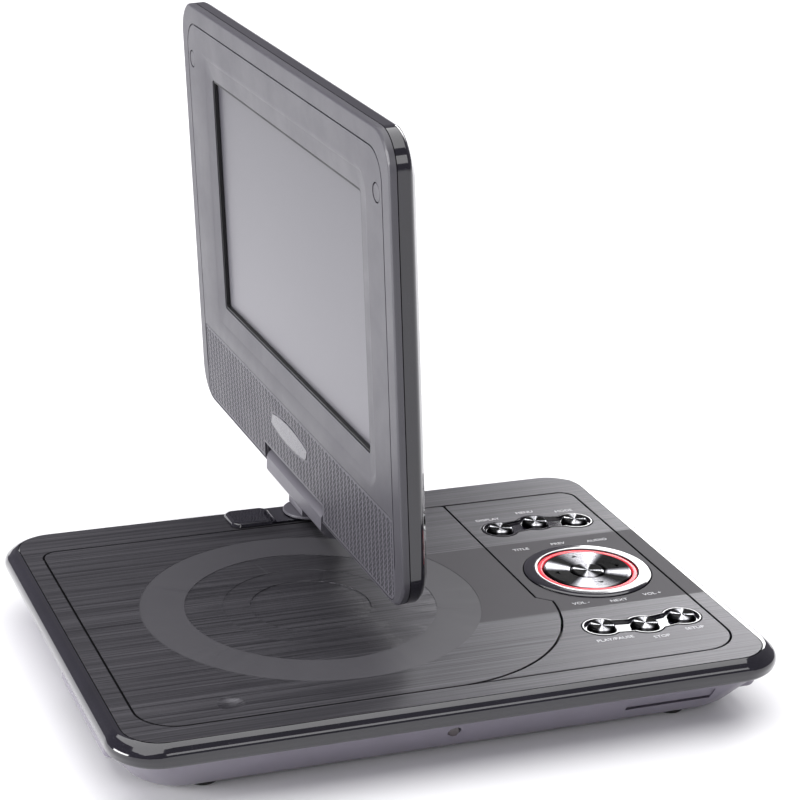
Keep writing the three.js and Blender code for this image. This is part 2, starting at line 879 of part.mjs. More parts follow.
const motor_top = tray_floor_top - tray_floor - 0.4;
player.add(
  piece(
    "spindle_motor",
    cut(
      solid(rod(disc_x, disc_y, motor_radius, chassis_top + gap, motor_top, 32)),
      solid(rod(disc_x, disc_y, 1.2 + play, motor_top - 4, motor_top + 1, 12)),
    ),
    0xa0a0a4,
    0.3,
    1,
  ),
);

const table_z = tray_floor_top + 0.6;
const hub = turned(
  [
    [0, motor_top - 3],
    [1.2, motor_top - 3],
    [1.2, table_z],
    [14, table_z],
    [14, table_z + 1],
    [spindle_radius, table_z + 1],
    [spindle_radius, table_z + 2.4],
    [spindle_radius - 1.6, table_z + 3.6],
    [0, table_z + 3.6],
  ],
  disc_x,
  disc_y,
  32,
);
let spindle_hub = solid(hub);
for (let i = 0; i < 3; i += 1) {
  const notch = block(spindle_radius - 1.1, spindle_radius + 1, -0.9, 0.9, table_z + 1.6, table_z + 3);
  const turned_notch = notch.rotateZ((i * 2 * Math.PI) / 3).translate(disc_x, disc_y, 0);
  spindle_hub = cut(spindle_hub, solid(turned_notch));
}
player.add(piece("spindle_hub", spindle_hub, 0x2a2a2e, 0.5));

const sled_x = disc_x + pickup_rest;
const sled_half = 12;
const sled_top = rail_z + 3.4;
let pickup_sled = solid(
  block(sled_x - sled_half, sled_x + sled_half, rail_y[0] - 4, screw_line + 4, rail_z - 2.8, rail_z + 2.8),
);
pickup_sled = join(
  pickup_sled,
  solid(rod(sled_x, disc_y, lens_radius + 1.6, rail_z + 2, sled_top, 16)),
);
for (const y of [...rail_y, screw_line]) {
  pickup_sled = cut(
    pickup_sled,
    solid(axle(sled_x - sled_half - 1, sled_x + sled_half + 1, y, rail_z, rail_radius + play)),
  );
}
player.add(piece("pickup_sled", pickup_sled, 0x3a3a3e, 0.45, 0.6));

const lens = turned(
  [
    [0, sled_top + gap],
    [lens_radius, sled_top + gap],
    [lens_radius, tray_floor_top - 0.9],
    [lens_radius - 1.2, tray_floor_top - 0.5],
    [0, tray_floor_top - 0.1],
  ],
  sled_x,
  disc_y,
  16,
);
player.add(piece("pickup_lens", solid(lens), 0x6080a0, 0.05));

// ---- electronics and sockets ----

const battery = plate({ x0: well.x0 + 11, x1: disc_x - 20, y0: -58, y1: 52 }, 0, 3, floor_top + gap, floor_top + 8);
player.add(piece("battery_pack", solid(battery), 0x2c4a78, 0.5));

const socket_back = flank_x - wall - 12;
const board_x0 = feed_x + 12 + 1.5;
const board_drop = 0.65; // sockets to the board under them
const main_top = port_z - jack_radius - 0.6 - board_drop;
let main_board = solid(
  block(board_x0, half_w - 12.2, -50, 50, main_top - board_wall, main_top),
);
main_board = join(
  main_board,
  solid(block(board_x0 + 4, board_x0 + 18, -30, -16, main_top - 0.1, main_top + 1.4)),
  solid(block(board_x0 + 5, board_x0 + 15, 8, 20, main_top - 0.1, main_top + 1.2)),
  solid(rod(board_x0 + 9, 36, 3.5, main_top - 0.1, main_top + 5.4, 12)),
);
player.add(piece("main_board", main_board, 0x1d5a34, 0.6));

function jack(name, y, bore, depth, color) {
  const back = block(
    socket_back,
    flank_x - wall - gap,
    y - jack_radius - 1,
    y + jack_radius + 1,
    port_z - jack_radius - 0.6,
    port_z + jack_radius + 0.6,
  );
  const nose = axle(flank_x - wall - 1, flank_x + 0.2, y, port_z, jack_radius, 16);
  const hole = axle(flank_x - depth, flank_x + 1, y, port_z, bore, 12);
  player.add(piece(name, cut(join(solid(back), solid(nose)), solid(hole)), color, 0.5));
}

jack("dc_inlet", dc_y, 2.3, 9, 0x1a1a1d);
jack("av_socket", av_y, 1.8, 11, 0xc8a830);
jack("headphone_socket", phones_y, 1.8, 11, 0x1f5030);

const usb_outer = block(
  socket_back,
  flank_x - 0.3,
  usb_y - usb_width / 2,
  usb_y + usb_width / 2,
  port_z - usb_height / 2,
  port_z + usb_height / 2,
);
const usb_hollow = block(
  socket_back + 1,
  flank_x + 1,
  usb_y - usb_width / 2 + 0.4,
  usb_y + usb_width / 2 - 0.4,
  port_z - usb_height / 2 + 0.4,
  port_z + usb_height / 2 - 0.4,
);
const usb_tongue = block(
  socket_back + 0.5,
  flank_x - 2,
  usb_y - usb_width / 2 + 1,
  usb_y + usb_width / 2 - 1,
  port_z - 0.1,
  port_z + 1.7,
);
const usb_socket = join(cut(solid(usb_outer), solid(usb_hollow)), solid(usb_tongue));
player.add(piece("usb_socket", usb_socket, 0xb8b8bc, 0.3, 1));

let power_switch = solid(
  block(
    flank_x - wall - 0.6,
    flank_x + 0.8,
    switch_y - switch_length / 2,
    switch_y + switch_length / 2,
    port_z - switch_height / 2,
    port_z + switch_height / 2,
  ),
);
power_switch = join(
  power_switch,
  solid(
    block(
      flank_x - wall - 2.4,
      flank_x - wall - play,
      switch_y - switch_length / 2 - 1.2,
      switch_y + switch_length / 2 + 1.2,
      port_z - switch_height / 2 - 0.8,
      port_z + switch_height / 2 + 0.8,
    ),
  ),
);
for (let i = -2; i <= 2; i += 1) {
  const rib = block(
    flank_x + 0.4,
    flank_x + 2,
    switch_y + i * 2 - 0.4,
    switch_y + i * 2 + 0.4,
    port_z - switch_height,
    port_z + switch_height,
  );
  power_switch = cut(power_switch, solid(rib));
}
player.add(piece("power_switch", power_switch, 0x1b1b1e, 0.6));

// ---- hinge cover and turret ----

const seat_wall = 0.5; // of the strip under the turret that ties the two ends of the cover together
const seat_top = deck + gap + seat_wall;
const strip = { x0: -cover_width / 2, x1: cover_width / 2, y0: well.y1 + 1.2, y1: half_d - rim_front - 0.4 };
const strip_body = block(-cover_inner - 2, cover_inner + 2, strip.y0 + 0.5, strip.y1 - 0.5, deck + gap, seat_top);
let hinge_cover = cut(solid(strip_body), solid(rod(0, turret_y, stem_hole, deck, deck + 4)));
for (const side of [-1, 1]) {
  const ends = [side * cover_inner, (side * cover_width) / 2].sort((a, b) => a - b);
  const end_box = { ...strip, x0: ends[0], x1: ends[1] };
  const bump = loft([
    level(deck + gap, end_box, 0, 2.5),
    level(deck + cover_height - 0.3, end_box, 0.9, 2.5),
    level(deck + cover_height, end_box, 1.4, 2.5),
  ]);
  hinge_cover = join(hinge_cover, solid(bump));
}
player.add(piece("hinge_cover", hinge_cover, 0x17171a, 0.3));

const turret_group = new THREE.Group();
turret_group.position.set(0, turret_y, 0);
turret_group.rotation.z = THREE.MathUtils.degToRad(rest_swivel);
player.add(turret_group);

const flange_top = ledge_under - 2.6 - gap;
const swivel_turret = turned(
  [
    [0, flange_top - 1.4],
    [turret_stem + 2.4, flange_top - 1.4],
    [turret_stem + 2.4, flange_top],
    [turret_stem, flange_top],
    [turret_stem, seat_top + gap],
    [turret_radius, seat_top + gap],
    [turret_radius, turret_top - 0.5],
    [turret_radius - 0.5, turret_top],
    [0, turret_top],
  ],
  0,
  0,
  16,
);
turret_group.add(piece("swivel_turret", solid(swivel_turret), 0x5a5a60, 0.35, 0.3));

// ---- hinge block ----

const block_group = new THREE.Group();
block_group.position.z = axis_z;
turret_group.add(block_group);

const half_barrel = barrel_length / 2;
const shaft_bore = shaft_radius + gap;
const barrel = axle(-half_barrel, half_barrel, 0, 0, barrel_radius, 16);
const saddle = block(-8, 8, -5, 5, turret_top + gap - axis_z, -3);
const hinge_block = cut(
  join(solid(barrel), solid(saddle)),
  solid(block(-half_barrel - 1, half_barrel + 1, -20, -screen_face - 0.1, -20, 20)),
  solid(axle(-half_barrel - 1, half_barrel + 1, 0, 0, shaft_bore)),
);
block_group.add(piece("hinge_block", hinge_block, 0x55555c, 0.45));

// ---- screen: local +Z runs up the screen and local -Y faces the viewer ----

const screen_group = new THREE.Group();
screen_group.rotation.x = THREE.MathUtils.degToRad(rest_tilt);
block_group.add(screen_group);

const half_screen = screen_width / 2;
const screen_box = { x0: -half_screen, x1: half_screen, y0: screen_lift, y1: screen_lift + screen_height };

// Lofts for the screen are built flat, with depth as height, and then stood up.
function stand(geometry) {
  return solid(geometry.rotateX(Math.PI / 2));
}

// Level at a depth behind the tilt axis; negative depths are in front of it.
function depth(y, box, inset, r) {
  return level(-y, box, inset, r);
}

function upright(levels, steps = 4) {
  return stand(loft([...levels].reverse(), steps));
}

function uprightPlate(box, inset, r, y0, y1, steps = 4) {
  return upright([depth(y0, box, inset, r), depth(y1, box, inset, r)], steps);
}

const face = -screen_face;
const bezel_back = face + bezel_wall;
const cover_front = bezel_back + gap;
const half_notch = notch_width / 2;
const notch = solid(block(-half_notch, half_notch, -30, 30, -30, notch_top));
const window_box = {
  x0: -window_width / 2,
  x1: window_width / 2,
  y0: screen_lift + window_lift,
  y1: screen_lift + window_lift + window_height,
};
const ring_box = level(0, window_box, -ring_margin, 0);
const dish_box = { ...level(0, window_box, -dish_margin, 0) };
dish_box.x0 += dish_shift;
dish_box.x1 += dish_shift;
dish_box.y0 += 3;
dish_box.y1 -= 4.5;
const rim_groove = 7; // outer edge to the thin groove
const groove_depth = 0.7;
const chin_inset = { left: rim_groove + 0.8, right: rim_groove + 0.8, front: 1.2, rear: 0 };
const chin_box = { ...screen_box, y1: screen_lift + chin_height };
const chin_pocket = 1.1;
const chin_wall = 0.7;
const badge_x = -2;
const badge_z = screen_lift + 21.8;
const badge_half = 22;
const badge_rise = 4.3;

// A lens outline: two arcs that meet in a point at each side.
function lensShape(half, rise) {
  const radius = (half * half + rise * rise) / (2 * rise);
  const spread = Math.asin(half / radius);
  const shape = new THREE.Shape();
  shape.absarc(0, rise - radius, radius, Math.PI / 2 - spread, Math.PI / 2 + spread, false);
  shape.absarc(0, radius - rise, radius, 1.5 * Math.PI - spread, 1.5 * Math.PI + spread, false);
  return shape;
}

function badgeBody(half, rise, y0, y1) {
  const geometry = prism(lensShape(half, rise), -y1, -y0, 10).rotateX(Math.PI / 2);
  return solid(geometry.translate(badge_x, 0, badge_z));
}

const plug_x = 106.5;
const plug_drop = 22; // screen's upper edge to the plugs
const plug_z = screen_lift + screen_height - plug_drop;
const plug_radius = 3.2;

function plugBody(x, radius, y0, y1) {
  return solid(rod(0, 0, radius, -y1, -y0, 20).rotateX(Math.PI / 2).translate(x, 0, plug_z));
}

const groove_ring = cut(
  uprightPlate(screen_box, rim_groove, screen_corner - 2, face - 1, face + groove_depth, 6),
  uprightPlate(screen_box, rim_groove + 0.7, screen_corner - 2.7, face - 2, face + groove_depth + 1, 6),
);
let screen_bezel = cut(
  upright(
    [
      depth(face, screen_box, 1, screen_corner - 1),
      depth(face + 0.5, screen_box, 0.3, screen_corner),
      depth(face + 1.2, screen_box, 0, screen_corner),
      depth(bezel_back, screen_box, 0, screen_corner),
    ],
    6,
  ),
  groove_ring,
  upright([
    depth(face - 0.01, dish_box, 0, 9),
    depth(face + 1, ring_box, 0, 5),
    depth(face + 1.9, window_box, 0, 1.5),
    depth(bezel_back + 1, window_box, 0, 1.5),
  ]),
  uprightPlate(chin_box, chin_inset, 6, face - 1, face + chin_pocket),
  plugBody(-plug_x, plug_radius + gap, face - 1, face + 1.3),
  plugBody(plug_x, plug_radius + gap, face - 1, face + 1.3),
  notch,
);
screen_group.add(piece("screen_bezel", screen_bezel, 0x4a4a50, 0.45));

[-1, 1].forEach((side) => {
  const plug = plugBody(side * plug_x, plug_radius, face + 0.1, face + 1.3 - gap);
  screen_group.add(piece(side < 0 ? "bezel_plug_left" : "bezel_plug_right", plug, 0x3a3a3f, 0.7));
});

const grille_shape = uprightPlate(
  chin_box,
  { left: chin_inset.left + gap, right: chin_inset.right + gap, front: chin_inset.front + gap, rear: gap },
  6 - gap,
  face + 0.1,
  face + 0.1 + chin_wall,
);
const chin_notch = solid(block(-half_notch - 1, half_notch + 1, -30, 30, -30, notch_top + 1));
const chin_grille = cut(grille_shape, chin_notch, badgeBody(badge_half + gap, badge_rise + gap, face - 1, 0));
screen_group.add(piece("chin_grille", chin_grille, 0x47474d, 0.6));

const badge = badgeBody(badge_half, badge_rise, face - 0.1, face + chin_pocket - gap);
screen_group.add(piece("chin_badge", badge, 0x6a6a70, 0.35));

// ---- screen back cover ----

const back_insets = [
  { y: cover_front, side: 0, foot: 0, head: 0, r: screen_corner },
  { y: 0.5, side: 0, foot: 0, head: 0, r: screen_corner },
  { y: 2.2, side: 0.7, foot: 0.6, head: 0.7, r: screen_corner },
  { y: 3.8, side: 2.6, foot: 1.6, head: 2.6, r: screen_corner },
  { y: 5, side: 6.5, foot: 2.8, head: 7, r: screen_corner + 2 },
  { y: 6.8, side: 20, foot: 5, head: 48, r: screen_corner + 8 },
  { y: 8.6, side: 36, foot: 9, head: 84, r: screen_corner + 12 },
  { y: screen_back, side: 54, foot: 16, head: 112, r: screen_corner + 8 },
];

function backBody(thickness, forward) {
  const levels = back_insets.map((l) => {
    const inset = {
      left: l.side + thickness,
      right: l.side + thickness,
      front: l.foot + thickness,
      rear: l.head + thickness,
    };
    return depth(l.y - forward, screen_box, inset, l.r);
  });
  return upright(levels, 6);
}

const notch_wall = solid(block(-half_notch - wall, half_notch + wall, -30, 30, -30, notch_top + wall));
let back_cover = cut(backBody(0, 0), cut(backBody(wall, wall), notch_wall), notch);
const knuckle_length = shaft_overlap + 1.2;
const knuckle_radius = 4;
const bezel_space = solid(block(-half_screen, half_screen, -30, cover_front, -30, 30));
for (const side of [-1, 1]) {
  const inner = half_notch;
  const outer = half_notch + knuckle_length;
  const span = side > 0 ? [inner, outer] : [-outer, -inner];
  const knuckle = cut(solid(axle(span[0], span[1], 0, 0, knuckle_radius, 16)), bezel_space);
  const reach = half_notch + shaft_overlap + gap;
  const bore_span = side > 0 ? [inner - 1, reach] : [-reach, 1 - inner];
  back_cover = join(back_cover, knuckle);
  back_cover = cut(back_cover, solid(axle(bore_span[0], bore_span[1], 0, 0, shaft_bore)));
}
screen_group.add(piece("screen_back_cover", back_cover, 0x09090c, 0.06));

const shaft_half = half_notch + shaft_overlap;
screen_group.add(
  piece("hinge_shaft", solid(axle(-shaft_half, shaft_half, 0, 0, shaft_radius)), 0xb0b0b4, 0.25, 1),
);

// ---- display, mask, speakers and display board ----

const mask_front = face + 1.2;
const display_front = bezel_back + 0.9 + gap;
const display_thickness = 3;
const screen_mask = cut(
  join(
    uprightPlate(window_box, -6, 4, cover_front, cover_front + 0.6),
    uprightPlate(window_box, gap, 1.2, mask_front + 1, cover_front + 0.3),
  ),
  uprightPlate(window_box, 1, 0.8, face - 1, cover_front + 2),
);
screen_group.add(piece("screen_mask", screen_mask, 0x050506, 0.4));

const display_panel = uprightPlate(window_box, -5, 1, display_front, display_front + display_thickness);
screen_group.add(piece("display_panel", display_panel, 0x6d6f74, 0.2));

const board_back = display_front + display_thickness + gap;
const display_board = solid(
  block(-58, 58, board_back, board_back + 1.6, window_box.y0, window_box.y0 + 46),
);
screen_group.add(piece("display_board", display_board, 0x1d5a34, 0.6));

[-1, 1].forEach((side) => {
  const cone = turned(
    [
      [0, 1.6],
      [4, 1],
      [10.4, 0],
      [12.5, 0],
      [12.5, 1.6],
      [9, 2.6],
      [9, 5.6],
      [0, 5.6],
    ],
    0,
    0,
    12,
  );
  cone.rotateX(-Math.PI / 2).translate(side * 74, cover_front + 0.1, screen_lift + 18);
  screen_group.add(piece(side < 0 ? "speaker_left" : "speaker_right", solid(cone), 0x18181a, 0.8));
});

export default player;
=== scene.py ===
"""A portable disc player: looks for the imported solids. Shapes are modelled in millimetres and settled in metres."""

import json
import math

import bpy
from mathutils import Matrix, Vector


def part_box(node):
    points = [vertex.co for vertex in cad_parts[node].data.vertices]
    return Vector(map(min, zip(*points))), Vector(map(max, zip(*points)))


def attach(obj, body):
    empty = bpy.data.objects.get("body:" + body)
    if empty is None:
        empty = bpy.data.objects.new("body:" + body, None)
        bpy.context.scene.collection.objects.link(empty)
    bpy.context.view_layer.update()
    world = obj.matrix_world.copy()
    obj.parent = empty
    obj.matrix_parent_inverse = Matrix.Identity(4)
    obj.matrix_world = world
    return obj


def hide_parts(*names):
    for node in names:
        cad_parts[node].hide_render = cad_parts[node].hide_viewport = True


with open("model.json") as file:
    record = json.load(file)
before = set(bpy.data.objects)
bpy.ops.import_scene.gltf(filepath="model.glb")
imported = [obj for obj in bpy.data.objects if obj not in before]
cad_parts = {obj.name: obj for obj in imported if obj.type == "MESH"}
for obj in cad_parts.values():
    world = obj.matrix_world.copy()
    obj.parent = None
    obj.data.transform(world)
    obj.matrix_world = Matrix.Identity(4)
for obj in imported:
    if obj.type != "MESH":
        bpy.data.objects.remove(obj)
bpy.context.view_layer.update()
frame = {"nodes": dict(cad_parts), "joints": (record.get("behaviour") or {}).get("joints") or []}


# ---- sizes, in millimetres ----


def cad(node):
    """Lowest and highest corner of a solid, in millimetres."""
    low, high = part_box(node)
    return low * 1000, high * 1000


def plan_middle(node):
    """The middle of a solid, seen from above."""
    low, high = cad(node)
    return (low.x + high.x) / 2, (low.y + high.y) / 2


def joint(name):
    return next(j for j in frame["joints"] if j["name"] == name)


# Boxes are (left, right, front, rear), and the base's corners are (side, end) signs.
RIM_LOW, RIM_HIGH = cad("upper_case")
BASE = (RIM_LOW.x, RIM_HIGH.x, RIM_LOW.y, RIM_HIGH.y)
PANEL_UNDER, DECK = (corner.z for corner in cad("deck_panel"))
LIP = DECK - 8  # where the upper case meets the lower case
GAP = 0.3  # between neighbouring pieces
GROOVE = 0.8  # between the panels of the deck
CORNERS = ((-1, -1), (1, -1), (-1, 1), (1, 1))

WELL = (BASE[0] + 12.2, BASE[1] - 12.2, BASE[2] + 13, BASE[3] - 20.6)
WELL_CORNER = 14
REAR_CORNER = 6
DIVIDER = WELL[1] - 53.6  # between the disc lid and the control panel
BULGE = 57  # radius of the disc lid's wide corner
BULGE_STEP = 4.9
DISC = plan_middle("spindle_hub")
RING_RADII = (60, 44.3, 30.9, 21.3)
RING_DEPTHS = (0.12, 0.26, 0.42, 0.7)
BAND_FRONT, BAND_REAR = -33.4, 27.1  # the smooth band on the deck
DIMPLE = (WELL[0] + 31.3, WELL[2] + 10.1)

FLANK_X = BASE[1] - 4
FLANK_END = BASE[3] - 16.3
FLANKS = ((-FLANK_X, 30 - FLANK_X, 14.5 - FLANK_END, 5), (FLANK_X - 30, FLANK_X, -FLANK_END, FLANK_END))
DC_Y, AV_Y, PHONES_Y = 48, 30, 14  # sockets in the right flank

DIAL = plan_middle("ok_button")
BUTTON_RADIUS = 4.7
BUTTON_ROW = 45.4  # from the dial to either row of buttons
TRAY_POINTS = ((-15.4, 0), (0, 2.4), (15.4, 0))
LABEL_SIZE = 2.6

TURRET = Vector(joint("screen_swivel")["pos_m"]) * 1000
STEM_HOLE = 5.6  # radius of the holes that the turret's stem passes
PIVOT = Vector(joint("screen_tilt")["pos_m"]) * 1000
HINGE_RADIUS = 6.6
HINGE_HALF = 33
HINGE_BORE = 2.3
BLOCK_PLACE = Matrix.Translation(PIVOT) @ Matrix.Rotation(math.radians(-90), 4, "Z")
SCREEN_PLACE = BLOCK_PLACE @ Matrix.Rotation(math.radians(3.6), 4, "X")
STAND_UP = Matrix.Rotation(math.radians(90), 4, "X")

SCREEN = (-119.3, 119.3, 0.6, 168.6)
SCREEN_CORNER = 13
FACE = 6  # the screen's front face, measured from the hinge axis
WINDOW = (-86, 86, 47.7, 142.2)
DISH = (-103.5, 96.5, 36.7, 151.7)  # the shallow slope round the window
DISH_STEP = (-93, 93, 40.7, 149.2)
PLUG_X, PLUG_Y = 106.5, 146.6
NOTCH_HALF = 34
NOTCH_TOP = 7.3
BADGE = (-2, 22.4)


# ---- modelling ----


def only(*pieces):
    """Selects these pieces and nothing else, in object mode."""
    if bpy.context.mode != "OBJECT":
        bpy.ops.object.mode_set(mode="OBJECT")
    bpy.ops.object.select_all(action="DESELECT")
    for piece in pieces:
        piece.select_set(True)
    if pieces:
        bpy.context.view_layer.objects.active = pieces[0]


def edit(piece, kind="FACE", wanted=None):
    """Opens the piece in edit mode with everything selected, or only the points, edges or faces wanted."""
    only(piece)
    mesh = piece.data
    if wanted:
        for part in (mesh.vertices, mesh.edges, mesh.polygons):
            part.foreach_set("select", [False] * len(part))
        if kind == "VERT":
            for point in mesh.vertices:
                point.select = wanted(point.co)
        elif kind == "EDGE":
            for line in mesh.edges:
                a, b = (mesh.vertices[i] for i in line.vertices)
                if wanted(a.co, b.co):
                    line.select = a.select = b.select = True
        else:
            for face in mesh.polygons:
                face.select = wanted(face.center, face.normal)
    bpy.context.tool_settings.mesh_select_mode = [kind == k for k in ("VERT", "EDGE", "FACE")]
    bpy.ops.object.mode_set(mode="EDIT")
    if not wanted:
        bpy.ops.mesh.select_all(action="SELECT")


def move(x, y, z):
    bpy.ops.transform.translate(value=(x, y, z))


def extrude(x, y, z):
    bpy.ops.mesh.extrude_region_move(TRANSFORM_OT_translate={"value": (x, y, z)})


def close(piece):
    """Merges doubles and turns every face outwards."""
    edit(piece)
    bpy.ops.mesh.remove_doubles(threshold=0.0005)
    bpy.ops.mesh.normals_make_consistent(inside=False)
    only(piece)
    return piece


def flat(name, box, radii, z, steps=12):
    """A flat face with rounded corners: front left, front right, rear right, rear left."""
    x0, x1, y0, y1 = box
    only()
    bpy.ops.mesh.primitive_plane_add(size=1, location=(0, 0, 0))
    piece = bpy.context.object
    piece.name = name
    edit(piece)
    bpy.ops.transform.resize(value=(x1 - x0, y1 - y0, 1), center_override=(0, 0, 0))
    move((x0 + x1) / 2, (y0 + y1) / 2, z)
    if isinstance(radii, (int, float)):
        bpy.ops.mesh.bevel(offset=radii, segments=steps, affect="VERTICES", profile=0.5)
        only(piece)
        return piece
    for (x, y), radius in zip(((x0, y0), (x1, y0), (x1, y1), (x0, y1)), radii):
        edit(piece, "VERT", lambda p, x=x, y=y: abs(p.x - x) < 0.001 and abs(p.y - y) < 0.001)
        bpy.ops.mesh.bevel(offset=radius, segments=steps, affect="VERTICES", profile=0.5)
    only(piece)
    return piece


def slab(name, box, radii, z0, z1, steps=12):
    piece = flat(name, box, radii, z0, steps)
    edit(piece)
    extrude(0, 0, z1 - z0)
    return close(piece)


def block(name, x0, x1, y0, y1, z0, z1):
    only()
    bpy.ops.mesh.primitive_cube_add(size=1, location=(0, 0, 0))
    piece = bpy.context.object
    piece.name = name
    edit(piece)
    bpy.ops.transform.resize(value=(x1 - x0, y1 - y0, z1 - z0), center_override=(0, 0, 0))
    move((x0 + x1) / 2, (y0 + y1) / 2, (z0 + z1) / 2)
    only(piece)
    return piece


def inset(box, side, front=None, rear=None):
    """A box moved in from its sides; front and rear are the same as the sides unless given."""
    front = side if front is None else front
    rear = front if rear is None else rear
    return (box[0] + side, box[1] - side, box[2] + front, box[3] - rear)


def loft(name, levels, steps=12):
    """A closed skin over rounded outlines, each (height, box, corner radius), bridged from one to the next."""
    rings = []
    for height, box, radius in levels:
        ring = flat(name, box, radius, height, steps)
        edit(ring)
        bpy.ops.mesh.delete(type="ONLY_FACE")
        rings.append(ring)
    only(*rings)
    bpy.ops.object.join()
    piece = bpy.context.object
    piece.name = name
    heights = [height for height, _, _ in levels]

    def at(z, a, b):
        return abs(a.z - z) < 1e-4 and abs(b.z - z) < 1e-4

    for low, high in zip(heights, heights[1:]):
        edit(piece, "EDGE", lambda a, b, low=low, high=high: at(low, a, b) or at(high, a, b))
        bpy.ops.mesh.bridge_edge_loops()
    for end in (heights[0], heights[-1]):
        edit(piece, "EDGE", lambda a, b, end=end: at(end, a, b))
        bpy.ops.mesh.edge_face_add()
    return close(piece)


def chain(name, points):
    """A line of points, each extruded from the one before."""
    only()
    bpy.ops.mesh.primitive_plane_add(size=1, location=(0, 0, 0))
    piece = bpy.context.object
    piece.name = name
    edit(piece, "VERT")
    bpy.ops.mesh.merge(type="CENTER")
    move(*points[0])
    for a, b in zip(points, points[1:]):
        extrude(*(Vector(b) - Vector(a)))
    return piece


def turned(name, profile, centre=(0, 0), steps=72):
    """A shape spun round an upright axis from a line of (radius, height)."""
    piece = chain(name, [(radius, 0, height) for radius, height in profile])
    bpy.ops.mesh.select_all(action="SELECT")
    bpy.ops.mesh.spin(steps=steps, angle=math.tau, center=(0, 0, 0), axis=(0, 0, 1))
    bpy.ops.mesh.select_all(action="SELECT")
    move(centre[0], centre[1], 0)
    return close(piece)


def rod(name, centre, radius, z0, z1, steps=48):
    return turned(name, ((0, z0), (radius, z0), (radius, z1), (0, z1)), centre, steps)


def prism(name, outline, z0, z1):
    piece = chain(name, [(x, y, z0) for x, y in outline])
    bpy.ops.mesh.select_all(action="SELECT")
    bpy.ops.mesh.edge_face_add()
    extrude(0, 0, z1 - z0)
    return close(piece)


def put(piece, matrix):
    """Moves or turns the piece, and leaves its place in its mesh."""
    piece.matrix_world = matrix
    only(piece)
    bpy.ops.object.transform_apply(location=True, rotation=True, scale=True)
    return piece


def shifted(piece, x, y, z):
    return put(piece, Matrix.Translation((x, y, z)))


def along_x(piece):
    """Turns an upright piece so that its top points to +X."""
    return put(piece, Matrix.Rotation(math.radians(90), 4, "Y"))


def along_front(piece):
    """Turns an upright piece so that its top points to the front."""
    return put(piece, STAND_UP)


def joined(*pieces):
    only(*pieces)
    bpy.ops.object.join()
    return bpy.context.object


def combine(piece, how, *others):
    for other in others:
        only(piece)
        change = piece.modifiers.new("shape", "BOOLEAN")
        change.operation = how
        change.solver = "EXACT"
        change.object = other
        bpy.ops.object.modifier_apply(modifier=change.name)
        bpy.data.objects.remove(other)
    return piece


def cut(piece, *others):
    return combine(piece, "DIFFERENCE", *others)


def merged(piece, *others):
    return combine(piece, "UNION", *others)


def soften(piece, width, segments=2, angle=30):
    """Rounds the sharp edges of a piece and shades the rest smoothly."""
    only(piece)
    change = piece.modifiers.new("round", "BEVEL")
    change.width = width
    change.segments = segments
    change.limit_method = "ANGLE"
    change.angle_limit = math.radians(angle)
    bpy.ops.object.modifier_apply(modifier=change.name)
    return smooth(piece, 40)


def smooth(piece, angle=35):
    only(piece)
    bpy.ops.object.shade_smooth_by_angle(angle=math.radians(angle))
    change = piece.modifiers.new("flat_faces", "WEIGHTED_NORMAL")
    change.keep_sharp = True
    change.weight = 100
    bpy.ops.object.modifier_apply(modifier=change.name)
    return piece


def settle(piece, body, slot, finish, *nodes, place=None):
    """Brings a finished piece to metres in its place, and ties it to its body."""
    put(piece, Matrix.Scale(0.001, 4) @ (place or Matrix.Identity(4)))
    piece.data.materials.clear()
    piece.data.materials.append(finish)
    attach(piece, body)
    if nodes:
        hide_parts(*nodes)
    return piece


def mark_centre(piece, centre):
    """Stores where each point lies from the turning axis, for the turned finishes."""
    store = piece.data.attributes.new("from_centre", "FLOAT_VECTOR", "POINT")
    for point, value in zip(piece.data.vertices, store.data):
        value.vector = (point.co.x - centre[0], point.co.y - centre[1], 0)
    return piece


# ---- effects that several finishes share ----


def feed(tree, sockets, values):
    """Links or sets each socket; a colour may leave out its fourth number."""
    for key, value in values.items():
        if isinstance(value, bpy.types.NodeSocket):
            tree.links.new(value, sockets[key])
        elif sockets[key].type == "RGBA" and len(value) == 3:
            sockets[key].default_value = (*value, 1)
        else:
            sockets[key].default_value = value


def node(tree, kind, inputs=None, **settings):
    made = tree.nodes.new(kind)
    for key, value in settings.items():
        setattr(made, key, value)
    feed(tree, made.inputs, inputs or {})
    return made


def math_node(tree, operation, a, b=0.0, clamp=False):
    return node(tree, "ShaderNodeMath", {0: a, 1: b}, operation=operation, use_clamp=clamp).outputs[0]


def millimetres(tree, stretch=(1, 1, 1)):
    """The piece's own coordinates in millimetres, stretched."""
    where = node(tree, "ShaderNodeTexCoord").outputs["Object"]
    scale = [1000 * s for s in stretch]
    return node(tree, "ShaderNodeMapping", {"Vector": where, "Scale": scale}).outputs[0]


def noise(tree, vector, scale, detail=3.0, roughness=0.5):
    values = {"Vector": vector, "Scale": scale, "Detail": detail, "Roughness": roughness}
    return node(tree, "ShaderNodeTexNoise", values).outputs["Fac"]


def spread(tree, value, low, high, to_low=0.0, to_high=1.0):
    values = {"Value": value, "From Min": low, "From Max": high, "To Min": to_low, "To Max": to_high}
    return node(tree, "ShaderNodeMapRange", values, clamp=True).outputs[0]


def effect(name, inputs, outputs):
    """A node group with named inputs, each (name, default), and outputs, each (name, kind)."""
    tree = bpy.data.node_groups.new(name, "ShaderNodeTree")
    for label, value in inputs:
        tree.interface.new_socket(label, in_out="INPUT", socket_type="NodeSocketFloat").default_value = value
    for label, kind in outputs:
        tree.interface.new_socket(label, in_out="OUTPUT", socket_type="NodeSocket" + kind)
    return tree, tree.nodes.new("NodeGroupInput").outputs, tree.nodes.new("NodeGroupOutput").inputs


